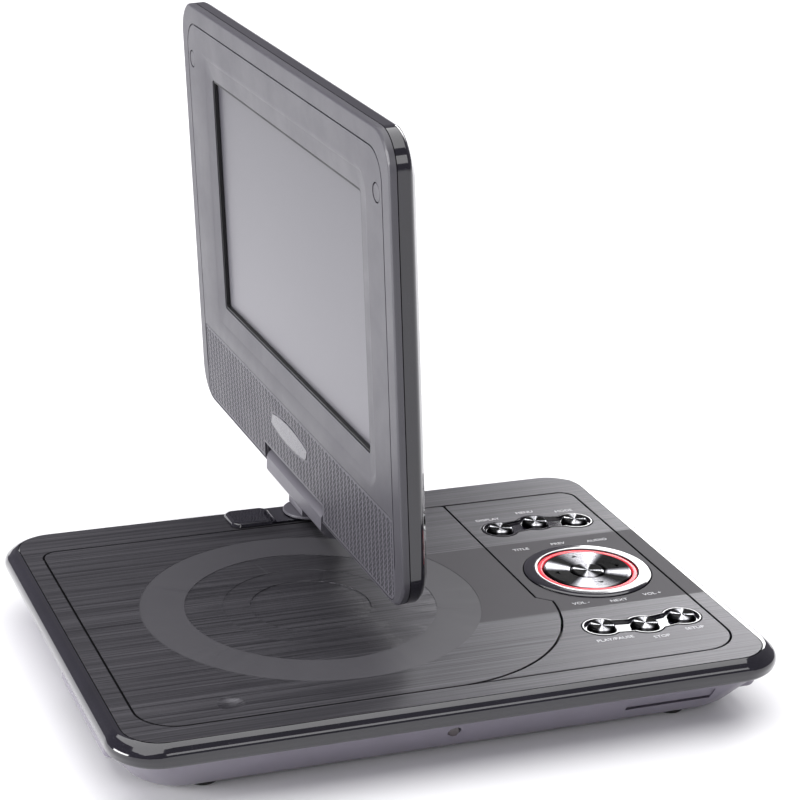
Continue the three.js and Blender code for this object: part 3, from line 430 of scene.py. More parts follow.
def make_handling_marks():
    """Broad smudges, with fine dust between them."""
    tree, given, out = effect("handling_marks", [("Size", 0.05)], [("Mask", "Float"), ("Dust", "Float")])
    where = millimetres(tree)
    broad = noise(tree, where, given["Size"], 4.0, 0.6)
    fine = noise(tree, where, 2.2, 2.0)
    feed(tree, out, {"Mask": spread(tree, broad, 0.35, 0.7), "Dust": spread(tree, fine, 0.66, 0.78)})
    return tree


def make_moulded_grain():
    """The fine pebbled surface of a plastic moulding."""
    tree, given, out = effect(
        "moulded_grain", [("Size", 3.0), ("Depth", 0.4)], [("Mask", "Float"), ("Normal", "Vector")]
    )
    grain = noise(tree, millimetres(tree), given["Size"], 2.0, 0.6)
    bump = node(tree, "ShaderNodeBump", {"Strength": given["Depth"], "Distance": 0.0001, "Height": grain})
    feed(tree, out, {"Mask": grain, "Normal": bump.outputs[0]})
    return tree


def make_brushed_lines():
    """Hairlines that run along X."""
    tree, given, out = effect(
        "brushed_lines", [("Fineness", 2.4), ("Depth", 0.3)], [("Mask", "Float"), ("Normal", "Vector")]
    )
    fine = noise(tree, millimetres(tree, (0.006, 1, 1)), given["Fineness"], 3.0, 0.7)
    coarse = noise(tree, millimetres(tree, (0.002, 0.45, 0.45)), given["Fineness"], 1.0, 0.5)
    both = math_node(tree, "ADD", math_node(tree, "MULTIPLY", fine, 0.6), math_node(tree, "MULTIPLY", coarse, 0.4))
    bump = node(tree, "ShaderNodeBump", {"Strength": given["Depth"], "Distance": 0.0001, "Height": both})
    feed(tree, out, {"Mask": spread(tree, both, 0.35, 0.66), "Normal": bump.outputs[0]})
    return tree


def make_turned_lines_and_painted_highlight():
    """Fine rings cut on a lathe, with a painted highlight: a soft fan of bright streaks put into the colour, standing
    in for the light that the rings catch.
    """
    tree, given, out = effect(
        "turned_lines_and_painted_highlight",
        [("Depth", 0.3), ("Turn", 0.5), ("Sharpness", 20.0)],
        [("Painted_Highlight", "Float"), ("Mask", "Float"), ("Normal", "Vector")],
    )
    place = node(tree, "ShaderNodeAttribute", attribute_name="from_centre").outputs["Vector"]
    away = node(tree, "ShaderNodeVectorMath", {0: place}, operation="LENGTH").outputs["Value"]
    axes = node(tree, "ShaderNodeSeparateXYZ", {0: place}).outputs
    # painted highlight: bright streaks by angle round the centre, an X of narrow ones and a broader pair
    angle = math_node(tree, "ARCTAN2", axes[1], axes[0])
    turn = math_node(tree, "ADD", angle, given["Turn"])
    crossed = math_node(tree, "ABSOLUTE", math_node(tree, "COSINE", math_node(tree, "MULTIPLY", turn, 2.0)))
    narrow = math_node(tree, "POWER", crossed, given["Sharpness"])
    across = math_node(tree, "ADD", turn, 1.2)
    broad = math_node(tree, "POWER", math_node(tree, "ABSOLUTE", math_node(tree, "COSINE", across)), given["Sharpness"])
    fan = math_node(tree, "ADD", narrow, math_node(tree, "MULTIPLY", broad, 0.6), clamp=True)
    rings = node(
        tree, "ShaderNodeTexNoise", {"W": away, "Scale": 5.0, "Detail": 3.0}, noise_dimensions="1D"
    ).outputs["Fac"]
    bump = node(tree, "ShaderNodeBump", {"Strength": given["Depth"], "Distance": 0.0001, "Height": rings})
    feed(tree, out, {"Painted_Highlight": fan, "Mask": spread(tree, rings, 0.3, 0.7), "Normal": bump.outputs[0]})
    return tree


def make_worn_and_highlit_edges():
    """Where edges are rubbed, and a painted highlight along them: brightest on the sharpest."""
    tree, given, out = effect("worn_and_highlit_edges", [("Radius", 0.0004), ("Amount", 0.6)], [("Mask", "Float")])
    rounded = node(tree, "ShaderNodeBevel", {"Radius": given["Radius"]}, samples=4).outputs[0]
    straight = node(tree, "ShaderNodeNewGeometry").outputs["Normal"]
    same = node(tree, "ShaderNodeVectorMath", {0: rounded, 1: straight}, operation="DOT_PRODUCT").outputs["Value"]
    edge = spread(tree, same, 0.995, 0.8)
    patchy = spread(tree, noise(tree, millimetres(tree), 0.5, 3.0), 0.4, 0.65)
    both = math_node(tree, "MULTIPLY", edge, patchy)
    feed(tree, out, {"Mask": math_node(tree, "MULTIPLY", both, given["Amount"])})
    return tree


def make_disc_print():
    """Where the top film is smooth: the ring over the disc, and the band from the disc to the right."""
    tree, _, out = effect("disc_print", [], [("Ring", "Float"), ("Band", "Float")])
    where = millimetres(tree)
    centre = node(tree, "ShaderNodeVectorMath", {0: where, 1: (DISC[0], DISC[1], 0)}, operation="SUBTRACT").outputs[0]
    level = node(tree, "ShaderNodeVectorMath", {0: centre, 1: (1, 1, 0)}, operation="MULTIPLY").outputs[0]
    away = node(tree, "ShaderNodeVectorMath", {0: level}, operation="LENGTH").outputs["Value"]
    axes = node(tree, "ShaderNodeSeparateXYZ", {0: where}).outputs

    def inside(value, low, high):
        over = math_node(tree, "GREATER_THAN", value, low)
        return math_node(tree, "MULTIPLY", over, math_node(tree, "LESS_THAN", value, high))

    ring = inside(away, RING_RADII[1], RING_RADII[0])
    beyond = 200  # past the base's edge
    past_disc = math_node(tree, "MULTIPLY", inside(axes[0], DISC[0], beyond), inside(away, RING_RADII[0], beyond))
    band = math_node(tree, "MULTIPLY", inside(axes[1], BAND_FRONT, BAND_REAR), past_disc)
    feed(tree, out, {"Ring": ring, "Band": band})
    return tree


HANDLING = make_handling_marks()
GRAIN = make_moulded_grain()
BRUSHED = make_brushed_lines()
TURNED = make_turned_lines_and_painted_highlight()
WORN_AND_HIGHLIT = make_worn_and_highlit_edges()
PRINT = make_disc_print()


# ---- finishes ----


def new_finish(name):
    finish = bpy.data.materials.new(name)
    finish.use_nodes = True
    return finish, finish.node_tree, finish.node_tree.nodes["Principled BSDF"]


def use(tree, group, **values):
    made = tree.nodes.new("ShaderNodeGroup")
    made.node_tree = group
    feed(tree, made.inputs, values)
    return made.outputs


def mix(tree, share, low, high):
    return node(tree, "ShaderNodeMix", {0: share, 6: low, 7: high}, data_type="RGBA").outputs[2]


def shade(colour, factor):
    return tuple(min(1.0, c * factor) for c in colour)


def plastic(name, colour, roughness, size=3.0, depth=0.3, coat=0.0, wear_and_highlight=0.0, metallic=0.0):
    """Moulded plastic with grain, smudges and paler edges: partly rubbed where it is touched, partly a painted edge
    highlight.
    """
    finish, tree, shader = new_finish(name)
    marks = use(tree, HANDLING)
    grain = use(tree, GRAIN, Size=size, Depth=depth)
    tone = mix(tree, grain["Mask"], shade(colour, 0.88), shade(colour, 1.12))
    tone = mix(tree, math_node(tree, "MULTIPLY", marks["Mask"], 0.35), tone, shade(colour, 1.3))
    if wear_and_highlight:
        # paler edges: rubbing and a painted edge highlight together
        tone = mix(tree, use(tree, WORN_AND_HIGHLIT, Amount=wear_and_highlight)["Mask"], tone, shade(colour, 2.2))
    rough = spread(tree, marks["Mask"], 0.0, 1.0, roughness * 0.88, min(1.0, roughness * 1.15))
    feed(tree, shader.inputs, {"Base Color": tone, "Roughness": rough, "Normal": grain["Normal"]})
    feed(tree, shader.inputs, {"Metallic": metallic, "Coat Weight": coat, "Coat Roughness": 0.06})
    return finish


def gloss(name, colour, roughness=0.06):
    """Polished plastic with faint wipe marks and dust."""
    finish, tree, shader = new_finish(name)
    marks = use(tree, HANDLING, Size=0.03)
    tone = mix(tree, marks["Mask"], colour, shade(colour, 1.6))
    tone = mix(tree, math_node(tree, "MULTIPLY", marks["Dust"], 0.2), tone, (0.2, 0.2, 0.22))
    dull = math_node(tree, "MULTIPLY", marks["Dust"], 0.12)
    wiped = spread(tree, marks["Mask"], 0.0, 1.0, roughness, roughness + 0.05)
    rough = math_node(tree, "ADD", wiped, dull)
    wave = use(tree, GRAIN, Size=0.12, Depth=0.05)
    feed(tree, shader.inputs, {"Base Color": tone, "Roughness": rough, "Normal": wave["Normal"]})
    feed(tree, shader.inputs, {"Coat Weight": 0.6, "Coat Roughness": 0.03})
    return finish


def plain_metal(name, colour, roughness, lines=True):
    """Bare or plated metal: drawn or pressed, a little stained."""
    finish, tree, shader = new_finish(name)
    marks = use(tree, HANDLING, Size=0.15)
    surface = use(tree, BRUSHED, Fineness=4.0, Depth=0.15) if lines else use(tree, GRAIN, Size=1.5, Depth=0.2)
    tone = mix(tree, surface["Mask"], shade(colour, 0.85), shade(colour, 1.1))
    tone = mix(tree, math_node(tree, "MULTIPLY", marks["Mask"], 0.3), tone, shade(colour, 0.7))
    rough = spread(tree, surface["Mask"], 0, 1, roughness * 0.8, roughness * 1.2)
    feed(tree, shader.inputs, {"Base Color": tone, "Roughness": rough, "Normal": surface["Normal"], "Metallic": 1.0})
    return finish


def deck_film(name):
    """Dark brushed film, smooth where the disc ring and the band are printed."""
    finish, tree, shader = new_finish(name)
    lines = use(tree, BRUSHED, Fineness=2.8, Depth=0.3)
    marks = use(tree, HANDLING, Size=0.02)
    printed = use(tree, PRINT)
    brushed = mix(tree, lines["Mask"], (0.02, 0.019, 0.023), (0.12, 0.117, 0.128))
    band = mix(tree, marks["Mask"], (0.024, 0.021, 0.027), (0.03, 0.027, 0.033))
    ring = mix(tree, marks["Mask"], (0.05, 0.048, 0.055), (0.058, 0.056, 0.063))
    tone = mix(tree, printed["Band"], brushed, band)
    tone = mix(tree, printed["Ring"], tone, ring)
    smooth_film = math_node(tree, "MAXIMUM", printed["Band"], printed["Ring"])
    rough = spread(tree, lines["Mask"], 0, 1, 0.34, 0.46)
    rough = node(tree, "ShaderNodeMix", {0: smooth_film, 2: rough, 3: 0.6}).outputs[0]
    plain = node(tree, "ShaderNodeNewGeometry").outputs["Normal"]
    blend = node(tree, "ShaderNodeMix", {0: smooth_film, 4: lines["Normal"], 5: plain}, data_type="VECTOR")
    metallic = spread(tree, smooth_film, 0, 1, 0.7, 0.1)
    feed(tree, shader.inputs, {"Base Color": tone, "Roughness": rough, "Metallic": metallic})
    feed(tree, shader.inputs, {"Normal": blend.outputs[1]})
    return finish


def spun_metal(name, depth, sharpness):
    """Dark metal turned on a lathe, with a painted highlight fan in its colour."""
    finish, tree, shader = new_finish(name)
    cut_rings = use(tree, TURNED, Depth=depth, Sharpness=sharpness)
    tone = mix(tree, cut_rings["Mask"], (0.003, 0.003, 0.0035), (0.012, 0.012, 0.013))
    # painted highlight: the fan's streaks lift the colour to near white
    tone = mix(tree, cut_rings["Painted_Highlight"], tone, (0.75, 0.75, 0.78))
    rough = spread(tree, cut_rings["Mask"], 0, 1, 0.2, 0.32)
    feed(tree, shader.inputs, {"Base Color": tone, "Roughness": rough, "Normal": cut_rings["Normal"]})
    feed(tree, shader.inputs, {"Metallic": 0.9, "Specular Tint": (0.25, 0.25, 0.26)})
    return finish


def lit_ring(name):
    """Clear plastic with a red light under it, stronger in places."""
    finish, tree, shader = new_finish(name)
    uneven = spread(tree, noise(tree, millimetres(tree), 0.08, 1.0), 0.3, 0.7)
    colour = mix(tree, uneven, (0.75, 0.012, 0.03), (0.95, 0.05, 0.07))
    feed(tree, shader.inputs, {"Base Color": colour, "Emission Color": colour})
    feed(tree, shader.inputs, {"Emission Strength": 0.55, "Roughness": 0.3})
    return finish


def display_film(name):
    """Unlit panel under a matt film, with a painted sheen: paler towards its foot, darker towards its head."""
    finish, tree, shader = new_finish(name)
    where = node(tree, "ShaderNodeSeparateXYZ", {0: millimetres(tree)}).outputs
    # painted sheen: the colour fades from pale low down to dark higher up
    height = spread(tree, where[2], 70.0, 180.0)
    grain = use(tree, GRAIN, Size=6.0, Depth=0.1)
    low = mix(tree, grain["Mask"], (0.15, 0.146, 0.163), (0.158, 0.154, 0.171))
    tone = mix(tree, height, low, (0.07, 0.068, 0.08))
    rough = spread(tree, grain["Mask"], 0, 1, 0.3, 0.36)
    feed(tree, shader.inputs, {"Base Color": tone, "Roughness": rough, "Normal": grain["Normal"]})
    return finish


CASE_GREY = plastic("case_grey", (0.15, 0.137, 0.172), 0.34, 4.0, 0.12, coat=0.35, wear_and_highlight=0.35)
GLOSS_BLACK = gloss("gloss_black", (0.006, 0.0055, 0.009))
DECK_FILM = deck_film("deck_film")
SPUN_BUTTON = spun_metal("spun_button_painted_highlight", 0.3, 30.0)
SPUN_PAD = spun_metal("spun_pad_painted_highlight", 0.3, 14.0)
RED_LIGHT = lit_ring("red_light")
SCREEN_GREY = plastic("screen_grey", (0.062, 0.06, 0.07), 0.4, 5.0, 0.1, wear_and_highlight=0.35)
GRILLE_GREY = plastic("grille_grey", (0.085, 0.082, 0.096), 0.45, 5.0, 0.15)
# near-black for the grille's dash pockets: painted shade of the openings
GRILLE_POCKET_SHADE = plastic("grille_painted_shade", (0.012, 0.012, 0.014), 0.7, 5.0, 0.2)
BADGE_GREY = plastic("badge_grey", (0.075, 0.073, 0.085), 0.25, 6.0, 0.05, coat=0.4)
TURRET_GREY = plastic("turret_grey", (0.1, 0.096, 0.112), 0.38, 4.0, 0.12, wear_and_highlight=0.6)
INNER_BLACK = plastic("inner_black", (0.012, 0.012, 0.014), 0.6, 2.5, 0.4)
MASK_BLACK = plastic("mask_black", (0.004, 0.004, 0.005), 0.5, 3.0, 0.2)
DISPLAY = display_film("display_film")
RUBBER = plastic("rubber", (0.014, 0.014, 0.014), 0.85, 2.0, 0.6)
STEEL = plain_metal("steel", (0.55, 0.55, 0.57), 0.28)
SHEET_STEEL = plain_metal("sheet_steel", (0.46, 0.46, 0.48), 0.38, lines=False)
SLED_METAL = plastic("sled_metal", (0.06, 0.06, 0.066), 0.45, 1.8, 0.5, metallic=0.4)
BOARD_GREEN = plastic("board_green", (0.012, 0.1, 0.035), 0.4, 1.2, 0.2)
BATTERY_BLUE = plastic("battery_blue", (0.03, 0.08, 0.26), 0.35, 0.6, 0.2)
LENS_GLASS = gloss("lens_glass", (0.05, 0.09, 0.2), 0.04)
INFRARED = gloss("infrared_black", (0.012, 0.004, 0.008), 0.08)
SOCKET_BLACK = plastic("socket_black", (0.01, 0.01, 0.011), 0.5, 3.0, 0.2)
SOCKET_YELLOW = plastic("socket_yellow", (0.55, 0.36, 0.03), 0.45, 3.0, 0.2)
SOCKET_GREEN = plastic("socket_green", (0.02, 0.17, 0.05), 0.45, 3.0, 0.2)
CONE_PAPER = plastic("cone_paper", (0.02, 0.02, 0.021), 0.9, 1.5, 0.8)
LABEL_WHITE = plastic("label_white", (0.62, 0.62, 0.64), 0.55, 3.0, 0.1)


# ---- solids that keep their shape and get a finish ----

KEPT = (
    (INNER_BLACK, ("lid_latch_hook", "disc_tray", "spindle_hub", "power_switch")),
    (BOARD_GREEN, ("key_board", "main_board", "display_board")),
    (SHEET_STEEL, ("drive_chassis", "usb_socket")),
    (STEEL, ("guide_rail_1", "guide_rail_2", "lead_screw", "feed_motor", "spindle_motor", "hinge_shaft")),
    (SLED_METAL, ("pickup_sled",)),
    (LENS_GLASS, ("pickup_lens",)),
    (BATTERY_BLUE, ("battery_pack",)),
    (MASK_BLACK, ("screen_mask",)),
    (CONE_PAPER, ("speaker_left", "speaker_right")),
)
for finish, names in KEPT:
    for name in names:
        solid = frame["nodes"][name]
        solid.data.materials.clear()
        solid.data.materials.append(finish)


# ---- lower case ----

CASE_TOP = LIP - GAP
SHELL_LEVELS = (  # share of the height, then how far in at the sides, front and rear, and the corners' radius
    (0, 17, 19.5, 15, 12),
    (0.05, 13.5, 16.5, 12, 14),
    (0.2, 10.5, 13.5, 9.5, 16),
    (0.6, 6, 8.5, 5.5, 17),
    (1, 2.8, 3.8, 2.8, 15),
)
WALL = 2
FLANK_UNDER = 5.7
PORT_Z = CASE_TOP - 4.1
SCREW_SEAT = 6.8
BOSS_RADIUS = 3.6
SHANK_HOLE = 1.5
SCREW_SPOTS = [(sx * (BASE[1] - 12), sy * (BASE[3] - 32)) for sx, sy in CORNERS]
FOOT_SPOTS = [(sx * 84, sy * 66) for sx, sy in CORNERS]
HATCH_Z = 0.66 * CASE_TOP
HATCH_LEFT, HATCH_RIGHT = 60, 92
EYE_X = -3
VENT_COLUMNS = (-76, 88)
VENT_PITCH = 6


def shell(name, thickness, bottom, top):
    levels = []
    for rise, side, front, rear, radius in SHELL_LEVELS:
        box = inset(BASE, side + thickness, front + thickness, rear + thickness)
        levels.append((bottom + rise * (top - bottom), box, radius - thickness / 2))
    return loft(name, levels)


def flank(name, box, bottom, top, radius):
    """A side block whose lower edges are rounded."""
    levels = ((bottom, 1.2), (bottom + 0.35, 0.35), (bottom + 1.2, 0), (top, 0))
    return loft(name, [(height, inset(box, side), radius) for height, side in levels])


lower_case = shell("lower_case_shell", 0, 0, CASE_TOP)
inner = shell("inner", WALL, WALL, CASE_TOP + 0.5)
for box in FLANKS:
    merged(lower_case, flank("flank", box, FLANK_UNDER, CASE_TOP, 4))
    merged(inner, slab("flank_inner", inset(box, WALL), 3, FLANK_UNDER + WALL, CASE_TOP + 1))
cut(lower_case, inner)
for spot in SCREW_SPOTS:
    boss = rod("boss", spot, BOSS_RADIUS, 1, SCREW_SEAT + 3.7, 32)
    merged(lower_case, combine(boss, "INTERSECT", shell("shell_rest", 0, 0, CASE_TOP)))
hatch = block("hatch", HATCH_LEFT, HATCH_RIGHT, -90, -70, HATCH_Z - 2.2, HATCH_Z + 2.2)
cut(hatch, shell("hatch_floor", 0.7, 0, CASE_TOP))
holes = [
    block("hatch_slot", HATCH_LEFT, HATCH_RIGHT, -90, -70, HATCH_Z - 3, HATCH_Z - 2.1),
    shifted(along_front(rod("window_hole", (0, 0), 2.3, 0, 20)), EYE_X, -65, HATCH_Z),
    block("usb_hole", FLANK_X - 3, FLANK_X + 1, -12.9, 0.9, PORT_Z - 3.2, PORT_Z + 3.2),
    block("switch_hole", FLANK_X - 3, FLANK_X + 1, -39.9, -25.1, PORT_Z - 2.4, PORT_Z + 2.4),
]
for y in (DC_Y, AV_Y, PHONES_Y):
    holes.append(shifted(along_x(rod("jack_hole", (0, 0), 3.3, 0, 4)), FLANK_X - 3, y, PORT_Z))
for x in VENT_COLUMNS:
    for i in range(-3, 4):
        holes.append(slab("vent", (x - 8, x + 8, i * VENT_PITCH - 1, i * VENT_PITCH + 1), 0.9, -1, 3, 6))
for screw_spot, foot_spot in zip(SCREW_SPOTS, FOOT_SPOTS):
    holes.append(rod("screw_pocket", screw_spot, 2.9, -1, SCREW_SEAT))
    holes.append(rod("screw_bore", screw_spot, SHANK_HOLE, SCREW_SEAT - 1, 12, 24))
    holes.append(rod("foot_hole", foot_spot, 2.1, -1, 4, 24))
cut(lower_case, hatch, joined(*holes))
soften(lower_case, 0.22, 2, 32)
settle(lower_case, "base", "case_grey", CASE_GREY, "lower_case")

window = turned("infrared_eye", ((0, 0), (2, 0), (2, 4.4), (1.6, 4.8), (0, 5.1)), steps=40)
window = smooth(shifted(along_front(window), EYE_X, -77.2, HATCH_Z))
settle(window, "base", "infrared_black", INFRARED, "infrared_window")

FOOT_PROFILE = (
    (0, -1.85), (3.6, -2), (4.3, -2), (4.75, -1.8), (5, -1.3), (5, -0.3), (1.8, -0.3), (1.8, 3.2), (0, 3.2),
)
SCREW_PROFILE = ((0, 5.1), (1.4, 5.1), (2.3, 5.25), (2.6, 5.55), (2.6, 6.5), (1.2, 6.5), (1.2, LIP), (0, LIP))
for i, (foot_spot, (x, y)) in enumerate(zip(FOOT_SPOTS, SCREW_SPOTS), start=1):
    foot = turned(f"rubber_foot_{i}", FOOT_PROFILE, foot_spot, 40)
    settle(smooth(foot), "base", "rubber", RUBBER, f"foot_{i}")
    screw = turned(f"cross_screw_{i}", SCREW_PROFILE, (x, y), 32)
    slot_1 = block("slot", x - 1.5, x + 1.5, y - 0.25, y + 0.25, 4, 5.8)
    slot_2 = block("slot", x - 0.25, x + 0.25, y - 1.5, y + 1.5, 4, 5.8)
    cut(screw, slot_1, slot_2)
    settle(smooth(screw), "base", "steel", STEEL, f"case_screw_{i}")


# ---- upper case: the gloss rim ----

RIM_PROFILE = (  # height over the lip, and how far in
    (0, 1.8), (0.25, 1.25), (0.8, 0.75), (1.6, 0.3), (2.8, 0.03), (4, 0.12), (5, 0.5),
    (5.9, 1.05), (6.7, 1.75), (7.3, 2.55), (7.7, 3.2), (7.9, 3.75),
)
rim = loft("gloss_rim", [(LIP + z, inset(BASE, side), 17 - side / 3) for z, side in RIM_PROFILE], 18)
LEDGE_TOP = PANEL_UNDER - GAP
seat = slab("seat", inset(BASE, 5.2, 3.7), 13, LEDGE_TOP, DECK + 1, 18)
under = slab("under", inset(BASE, 3.8), 13, LIP - 1, LEDGE_TOP - 1.6)
middle = slab("middle", inset(BASE, 9.2), 9, LIP - 1, DECK + 1)
cut(rim, seat, under, middle)
bridge = block("bridge", -30, 30, WELL[3] + 1.6, BASE[3] - 3.2, LEDGE_TOP - 4.2, LEDGE_TOP)
merged(rim, bridge)
for spot in SCREW_SPOTS:
    merged(rim, rod("boss", spot, BOSS_RADIUS, SCREW_SEAT + 4, LEDGE_TOP, 32))
stems = [rod("stem_hole", (TURRET.x, TURRET.y), STEM_HOLE, LIP, DECK + 1)]
stems += [rod("shank_hole", spot, SHANK_HOLE, 7, LIP + 2, 24) for spot in SCREW_SPOTS]
cut(rim, joined(*stems))
settle(smooth(rim, 28), "base", "gloss_black", GLOSS_BLACK, "upper_case")


# ---- deck panel, disc lid and control panel ----

well_radii = [corner + GROOVE / 2 for corner in (WELL_CORNER, WELL_CORNER, REAR_CORNER, REAR_CORNER)]
deck = slab("deck_plate", inset(BASE, 5.5, 4), 13, PANEL_UNDER, DECK, 18)
well = slab("well", inset(WELL, -GROOVE / 2), well_radii, PANEL_UNDER - 1, DECK + 1, 18)
cut(deck, well, rod("stem_hole", (TURRET.x, TURRET.y), STEM_HOLE, PANEL_UNDER - 1, DECK + 1))
settle(soften(deck, 0.25, 3), "base", "brushed_dark", DECK_FILM, "deck_panel")


def arc(centre, radius, start, end, steps=12):
    """Points along an arc; the angles are in quarter turns."""
    angles = [(start + (end - start) * i / steps) * math.pi / 2 for i in range(steps + 1)]
    return [(centre[0] + radius * math.cos(a), centre[1] + radius * math.sin(a)) for a in angles]


BULGE_CENTRE = (DIVIDER + BULGE_STEP - BULGE, WELL[2] + BULGE)


def bulge(outwards, first):
    """The disc lid's wide front right corner, from an angle to the slanting step where it meets the dividing line."""
    right, reach = DIVIDER + outwards, BULGE + outwards
    run, fall = 6, 5.6
    a = run * run + fall * fall
    b = 2 * run * (right - BULGE_CENTRE[0])
    c = (right - BULGE_CENTRE[0]) ** 2 - reach * reach
    share = (math.sqrt(b * b - 4 * a * c) - b) / (2 * a)
    last = math.atan2(-fall * share, right + run * share - BULGE_CENTRE[0]) / (math.pi / 2)
    return arc(BULGE_CENTRE, reach, first, last, 36) + [(right, BULGE_CENTRE[1])]


def lid_outline(move_in):
    x0, _, y0, y1 = inset(WELL, move_in)
    right = DIVIDER - move_in
    corner, rear = WELL_CORNER - move_in, REAR_CORNER - move_in
    return (
        arc((x0 + corner, y0 + corner), corner, 2, 3)
        + bulge(-move_in, -1)
        + arc((right - 1, y1 - 1), 1, 0, 1, 4)
        + arc((x0 + rear, y1 - rear), rear, 1, 2)
    )


def control_outline(move_in):
    _, x1, y0, y1 = inset(WELL, move_in)
    left = DIVIDER + move_in
    corner, rear = WELL_CORNER - move_in, REAR_CORNER - move_in
    first = math.asin((y0 - BULGE_CENTRE[1]) / (BULGE + move_in)) / (math.pi / 2)
    return (
        arc((x1 - corner, y0 + corner), corner, -1, 0)
        + arc((x1 - rear, y1 - rear), rear, 0, 1)
        + arc((left + 1, y1 - 1), 1, 1, 2, 4)
        + bulge(move_in, first)[::-1]
    )


lid = prism("disc_lid_plate", lid_outline(GROOVE / 2), PANEL_UNDER, DECK)
for radius, depth in zip(RING_RADII, RING_DEPTHS):
    cut(lid, rod("ring", DISC, radius, DECK - depth, DECK + 1, 128))
soften(lid, 0.14, 2, 25)
dip_profile = ((0, -0.9), (1.5, -0.82), (3, -0.58), (4.2, -0.26), (5, 0.01), (5, 1), (0, 1))
cut(lid, turned("dip", [(radius, DECK + z) for radius, z in dip_profile], DIMPLE, 48))
LID_AXIS = (WELL[3] - 3, PANEL_UNDER - 2.4)
for x in (WELL[0] + 24, DIVIDER - 24):
    ear = block("ear", x - 4, x + 4, LID_AXIS[0] - 2, LID_AXIS[0] + 2, LID_AXIS[1] - 1.8, PANEL_UNDER + 0.5)
    pin = shifted(along_x(rod("pin", (0, 0), 1.1, 0, 13, 24)), x - 6.5, *LID_AXIS)
    merged(lid, ear, pin)
settle(smooth(lid, 30), "disc_lid", "brushed_dark", DECK_FILM, "disc_lid")


def button_spots(side):
    """Where the three buttons of the rear row (1) or the front row (-1) stand."""
    return [(DIAL[0] + x, DIAL[1] + side * (BUTTON_ROW + y)) for x, y in TRAY_POINTS]


def tray_plan(name, side, radius, z0, z1, steps=16):
    """Three rounds in a slight arch, with straight waists between them, drawn as one outline."""
    spots = [Vector(spot) for spot in button_spots(side)]
    waist = math.asin(0.72)
    lean = math.atan2(spots[1].y - spots[0].y, spots[1].x - spots[0].x)
    arcs = (
        (spots[0], lean + waist, lean + math.tau - waist),
        (spots[1], lean + math.pi + waist, math.tau - lean - waist),
        (spots[2], -lean - math.pi + waist, math.pi - lean - waist),
        (spots[1], waist - lean, lean + math.pi - waist),
    )
    outline = []
    for centre, start, end in arcs:
        for i in range(steps + 1):
            angle = start + (end - start) * i / steps
            outline.append((centre.x + radius * math.cos(angle), centre.y + radius * math.sin(angle)))
    return prism(name, outline, z0, z1)


panel = prism("control_plate", control_outline(GROOVE / 2), PANEL_UNDER, DECK)
cut(panel, rod("dial_room", DIAL, 23.6, PANEL_UNDER - 1, DECK + 1, 96))
for side in (1, -1):
    cut(panel, tray_plan("tray_room", side, 7.3, PANEL_UNDER - 1, DECK + 1))
settle(soften(panel, 0.2, 2, 25), "base", "brushed_dark", DECK_FILM, "control_panel")


# ---- buttons ----

TRAY_FLOOR = DECK - 2.6
BUTTON_FOOT = cad("menu_button")[0].z
ROWS = (
    ("rear", 1, ("display_button", "menu_button", "mode_button")),
    ("front", -1, ("play_pause_button", "stop_button", "setup_button")),
)
BUTTON_PROFILE = (
    (0, BUTTON_FOOT), (1.6, BUTTON_FOOT), (1.6, TRAY_FLOOR - 1), (BUTTON_RADIUS, TRAY_FLOOR - 1),
    (BUTTON_RADIUS, DECK + 0.35), (4.62, DECK + 0.62), (4.4, DECK + 0.85), (4.1, DECK + 1.02),
    (3.85, DECK + 1.06), (3.6, DECK + 0.98), (0, DECK + 0.7),
)
for row, side, names in ROWS:
    tray = tray_plan(f"button_surround_{row}", side, 7, TRAY_FLOOR, DECK + 0.15)
    cut(tray, tray_plan("tray_dish", side, 6.25, DECK - 0.9, DECK + 1))
    for spot in button_spots(side):
        cut(tray, rod("button_hole", spot, BUTTON_RADIUS + 0.4, TRAY_FLOOR - 2, DECK + 1))
    settle(soften(tray, 0.2, 3, 30), "base", "gloss_black", GLOSS_BLACK, f"button_tray_{row}")
    for spot, name in zip(button_spots(side), names):
        button = mark_centre(turned(name + "_cap", BUTTON_PROFILE, spot, 64), spot)
        settle(smooth(button, 25), name, "spun_metal", SPUN_BUTTON, name)


# ---- dial ----

def over_deck(profile):
    """A profile whose heights are given from the deck."""
    return [(radius, DECK + height) for radius, height in profile]


BEZEL_PROFILE = (
    (16.6, -3.4), (23.3, -3.4), (23.3, 0.1), (23.15, 0.35), (22.6, 0.62), (21.6, 0.8), (20.2, 0.86),
    (18.9, 0.82), (18.5, 0.7), (18.4, 0.4), (18.4, -1.3), (16.6, -1.3), (16.6, -3.4),
)
surround = turned("dial_surround", over_deck(BEZEL_PROFILE), DIAL, 128)
settle(smooth(surround, 40), "base", "gloss_black", GLOSS_BLACK, "dial_bezel")
GLOW_PROFILE = (
    (16.6, -0.9), (18.1, -0.9), (18.1, 0.3), (17.9, 0.46), (17.35, 0.52), (16.8, 0.46), (16.6, 0.3), (16.6, -0.9),
)
glow = turned("dial_glow", over_deck(GLOW_PROFILE), DIAL, 128)
settle(smooth(glow, 40), "base", "red_light", RED_LIGHT, "dial_light_ring")

